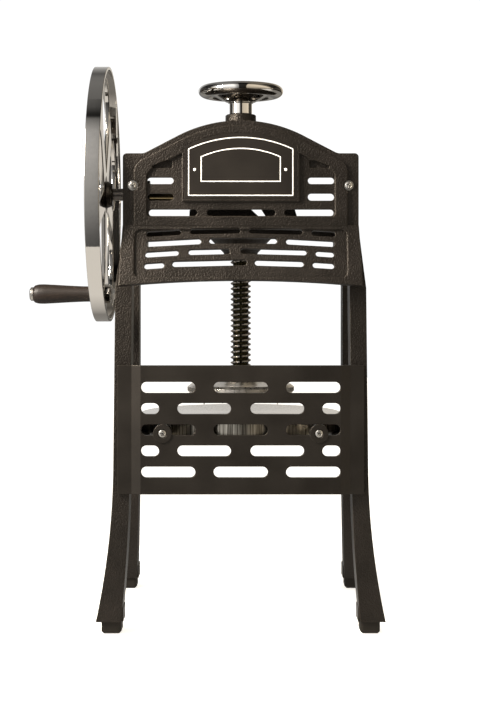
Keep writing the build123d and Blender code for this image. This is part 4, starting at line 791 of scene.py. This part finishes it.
ringLine = []
ringSteps = 32
for k in range(ringSteps + 1):
    a = 2 * pi * k / ringSteps
    ringLine.append((handwheel["ringRadius"] + handwheel["halfWidth"] * cos(a),
                     handwheel["ringZ"] + handwheel["halfHeight"] * sin(a)))
spindleCentre = (0, 0, 0)
dish = lathe([closedLoop(handwheel["dish"], handwheel["dishEdge"], 3)], spindleCentre, "Z", 128)
drill, drillBottom, drillTop = (handwheel[key] for key in (
    "holeRadius", "drillBottom", "drillTop"))
drillLine = [(0, drillBottom), (drill, drillBottom), (drill, drillTop), (0, drillTop)]
for k in range(handwheel["holes"]):
    turn = pi / 4 + 2 * pi * k / handwheel["holes"]
    at = (handwheel["holeRing"] * cos(turn), handwheel["holeRing"] * sin(turn), 0)
    dish = carved(dish, lathe([drillLine], at, "Z", 32))
addPiece("handwheelRing", lathe([ringLine], spindleCentre, "Z", 160), chrome, "feed_screw",
         ["handwheel"])
addPiece("handwheelDish", dish, chrome, "feed_screw", ["handwheel"])
print("handwheel turned")


# Studio

# lengths in metres; a glow of 1 is white paper
studio = {"floorFront": -0.34, "floorDepth": 2.4, "floorHalfWidth": 1.6, "floorMirrored": 1.03,
          "floorBehindShare": 0.3, "fadeEnd": 0.25, "sheetHalf": 3, "sheetDrop": 0.0005,
          "floorGlow": 0.80, "metalStrength": 2.0, "softStrength": 0.75, "seenStrength": 1.05}


def flatPiece(name, corners, material):
    mesh = bpy.data.meshes.new(name)
    mesh.from_pydata(corners, [], [tuple(range(len(corners)))])
    mesh.materials.append(material)
    piece = bpy.data.objects.new(name, mesh)
    bpy.context.scene.collection.objects.link(piece)
    return piece


def floorMaterial(name, colour, glow, behindShare):
    # paper that glows evenly ahead of the machine and by a smaller share behind it
    material, tree, shader = newMaterial(name, Base_Color=rgba(colour), Roughness=0.9,
                                         Specular_IOR_Level=0.0, Emission_Color=rgba("#fffaf2"))
    depth = addNode(tree, "ShaderNodeSeparateXYZ", {
        "Vector": objectPoint(tree)}).node.outputs["Y"]
    strength = addNode(tree, "ShaderNodeMapRange", {
        "Value": depth, "From Min": 0.0, "From Max": studio["fadeEnd"],
        "To Min": glow, "To Max": glow * behindShare})
    tree.links.new(strength, shader.inputs["Emission Strength"])
    return material


def paleFloor():
    # the wide sheet is what the camera sees; the metal mirrors a smaller one, which ends
    # just ahead of the machine
    half, near = studio["floorHalfWidth"], studio["floorFront"]
    far = near + studio["floorDepth"]
    mirroredPaper = floorMaterial("mirroredPaper", "#000000", studio["floorMirrored"],
                                  studio["floorBehindShare"])
    mirrored = flatPiece("floorMirrored", [(-half, near, 0), (half, near, 0), (half, far, 0),
                                           (-half, far, 0)], mirroredPaper)
    mirrored.visible_camera = mirrored.visible_diffuse = mirrored.visible_shadow = False
    reach, low = studio["sheetHalf"], -studio["sheetDrop"]
    palePaper = floorMaterial("palePaper", "#e6e4e0", studio["floorGlow"], 1.0)
    wide = flatPiece("floorWide", [(-reach, -reach, low), (reach, -reach, low),
                                   (reach, reach, low), (-reach, reach, low)], palePaper)
    wide.visible_glossy = False


# What the metal mirrors. Angles are in degrees, shares are of full white.
# up: 0 is straight ahead of the machine, 90 overhead, 180 straight behind it
upStops = [(-180, 0.25), (-90, 0.3), (-50, 0.20), (-39, 0.27), (-27, 0.41), (-15.7, 0.56),
           (-4, 0.67), (7.3, 0.80), (18.7, 0.88), (30, 1.0), (42, 1.0), (54, 0.92), (66.9, 0.38),
           (69.5, 0.03), (73, 0.05), (81, 0.19), (90, 0.255), (113, 0.32), (124, 0.30),
           (134, 0.18), (150, 0.55), (169, 0.97), (180, 0.97)]
# aside, ahead of the machine: a pale cloth on the left, the dark gap where the camera
# stands, and a beige wall on the right
aheadStops = [(-90, 1.0), (-30, 1.0), (-17, 0.95), (-9, 0.38), (-5.4, 0.32), (-4.6, 0.02),
              (14.0, 0.02), (16, 0.60), (35, 0.68), (90, 0.72)]
# aside, behind it: white with a dark flag on either hand
behindStops = [(-90, 0.9), (-84, 0.9), (-80, 0.06), (-36, 0.06), (-28, 0.5), (0, 0.36), (28, 0.5),
               (36, 0.06), (80, 0.06), (84, 0.7), (90, 0.7)]
skyTints = {"left": "#ffffff", "right": "#f1e4cf", "leftEnd": -0.15, "rightStart": 0.25}


def rampOver(tree, angle, stops):
    # a colour ramp over an angle in radians, from the first stop's degrees to the last's
    low, high = stops[0][0], stops[-1][0]
    share = addNode(tree, "ShaderNodeMapRange", {
        "Value": angle, "From Min": radians(low), "From Max": radians(high),
        "To Min": 0, "To Max": 1})
    colour = addNode(tree, "ShaderNodeValToRGB", {"Fac": share})
    ramp = colour.node.color_ramp
    while len(ramp.elements) < len(stops):
        ramp.elements.new(0.5)
    for element, (degrees, tone) in zip(ramp.elements, stops):
        element.position = (degrees - low) / (high - low)
        element.color = (tone, tone, tone, 1)
    return colour


def studioWorld():
    # the camera sees plain white, paint is lit evenly, and metal mirrors the studio
    world = bpy.data.worlds.new("studio")
    bpy.context.scene.world = world
    world.use_nodes = True
    tree = world.node_tree
    tree.nodes.clear()
    way = addNode(tree, "ShaderNodeTexCoord").node.outputs["Generated"]
    side, depth, height = addNode(tree, "ShaderNodeSeparateXYZ", {"Vector": way}).node.outputs
    ahead = addNode(tree, "ShaderNodeMath", {0: depth, 1: -1.0}, operation="MULTIPLY")
    up = addNode(tree, "ShaderNodeMath", {0: height, 1: ahead}, operation="ARCTAN2")
    aside = addNode(tree, "ShaderNodeMath", {0: side}, operation="ARCSINE")
    isBehind = addNode(tree, "ShaderNodeMath", {0: depth, 1: 0.0}, operation="GREATER_THAN")
    around = addNode(tree, "ShaderNodeMix", {
        "Factor": isBehind, "A": rampOver(tree, aside, aheadStops),
        "B": rampOver(tree, aside, behindStops)}, data_type="RGBA").node.outputs["Result"]
    light = addNode(tree, "ShaderNodeVectorMath", {0: around, 1: rampOver(tree, up, upStops)},
                    operation="MULTIPLY")
    hand = addNode(tree, "ShaderNodeMapRange", {
        "Value": side, "From Min": skyTints["leftEnd"], "From Max": skyTints["rightStart"],
        "To Min": 0.0, "To Max": 1.0})
    tint = addNode(tree, "ShaderNodeMix", {
        "Factor": hand, "A": rgba(skyTints["left"]), "B": rgba(skyTints["right"])},
        data_type="RGBA").node.outputs["Result"]
    tinted = addNode(tree, "ShaderNodeVectorMath", {0: light, 1: tint}, operation="MULTIPLY")
    forMetal = addNode(tree, "ShaderNodeBackground", {
        "Color": tinted, "Strength": studio["metalStrength"]})
    forPaint = addNode(tree, "ShaderNodeBackground", {
        "Color": (1, 0.98, 0.95, 1), "Strength": studio["softStrength"]})
    forCamera = addNode(tree, "ShaderNodeBackground", {
        "Color": (1, 1, 1, 1), "Strength": studio["seenStrength"]})
    path = addNode(tree, "ShaderNodeLightPath").node.outputs
    unseen = addNode(tree, "ShaderNodeMixShader", {
        0: path["Is Diffuse Ray"], 1: forMetal, 2: forPaint})
    shown = addNode(tree, "ShaderNodeMixShader", {
        0: path["Is Camera Ray"], 1: unseen, 2: forCamera})
    addNode(tree, "ShaderNodeOutputWorld", {"Surface": shown})


# a small lamp with a grid, on the left and aimed at the head
keyLight = {"position": (-0.42, -0.30, 0.56), "target": (-0.06, -0.08, 0.32),
            "size": (0.15, 0.3), "watts": 3.0, "colour": "#fff6ea", "spread": 70}


def softLight(name, look):
    light = bpy.data.lights.new(name, "AREA")
    light.shape = "RECTANGLE"
    light.size, light.size_y = look["size"]
    light.energy = look["watts"]
    light.color = linear(look["colour"])
    light.spread = radians(look["spread"])
    lamp = bpy.data.objects.new(name, light)
    lamp.location = look["position"]
    aim = Vector(look["target"]) - Vector(look["position"])
    lamp.rotation_euler = aim.to_track_quat("-Z", "Y").to_euler()
    bpy.context.scene.collection.objects.link(lamp)


paleFloor()
studioWorld()
softLight("griddedKeyLeft", keyLight)

# the camera stands straight ahead of the spindle; its shift puts the machine in the picture
cameraLook = {"position": (spindleX, -1.2125, 0.2652), "lens": 74.3, "sensor": 36,
              "shift": (-0.001, -0.1056)}
lens = bpy.data.cameras.new("photoCamera")
lens.lens = cameraLook["lens"]
lens.sensor_width = cameraLook["sensor"]
lens.shift_x, lens.shift_y = cameraLook["shift"]
camera = bpy.data.objects.new("photoCamera", lens)
camera.location = cameraLook["position"]
camera.rotation_euler = (pi / 2, 0, 0)
bpy.context.scene.collection.objects.link(camera)
bpy.context.scene.camera = camera
bpy.context.scene.view_settings.view_transform = "Standard"
print("studio and camera placed")
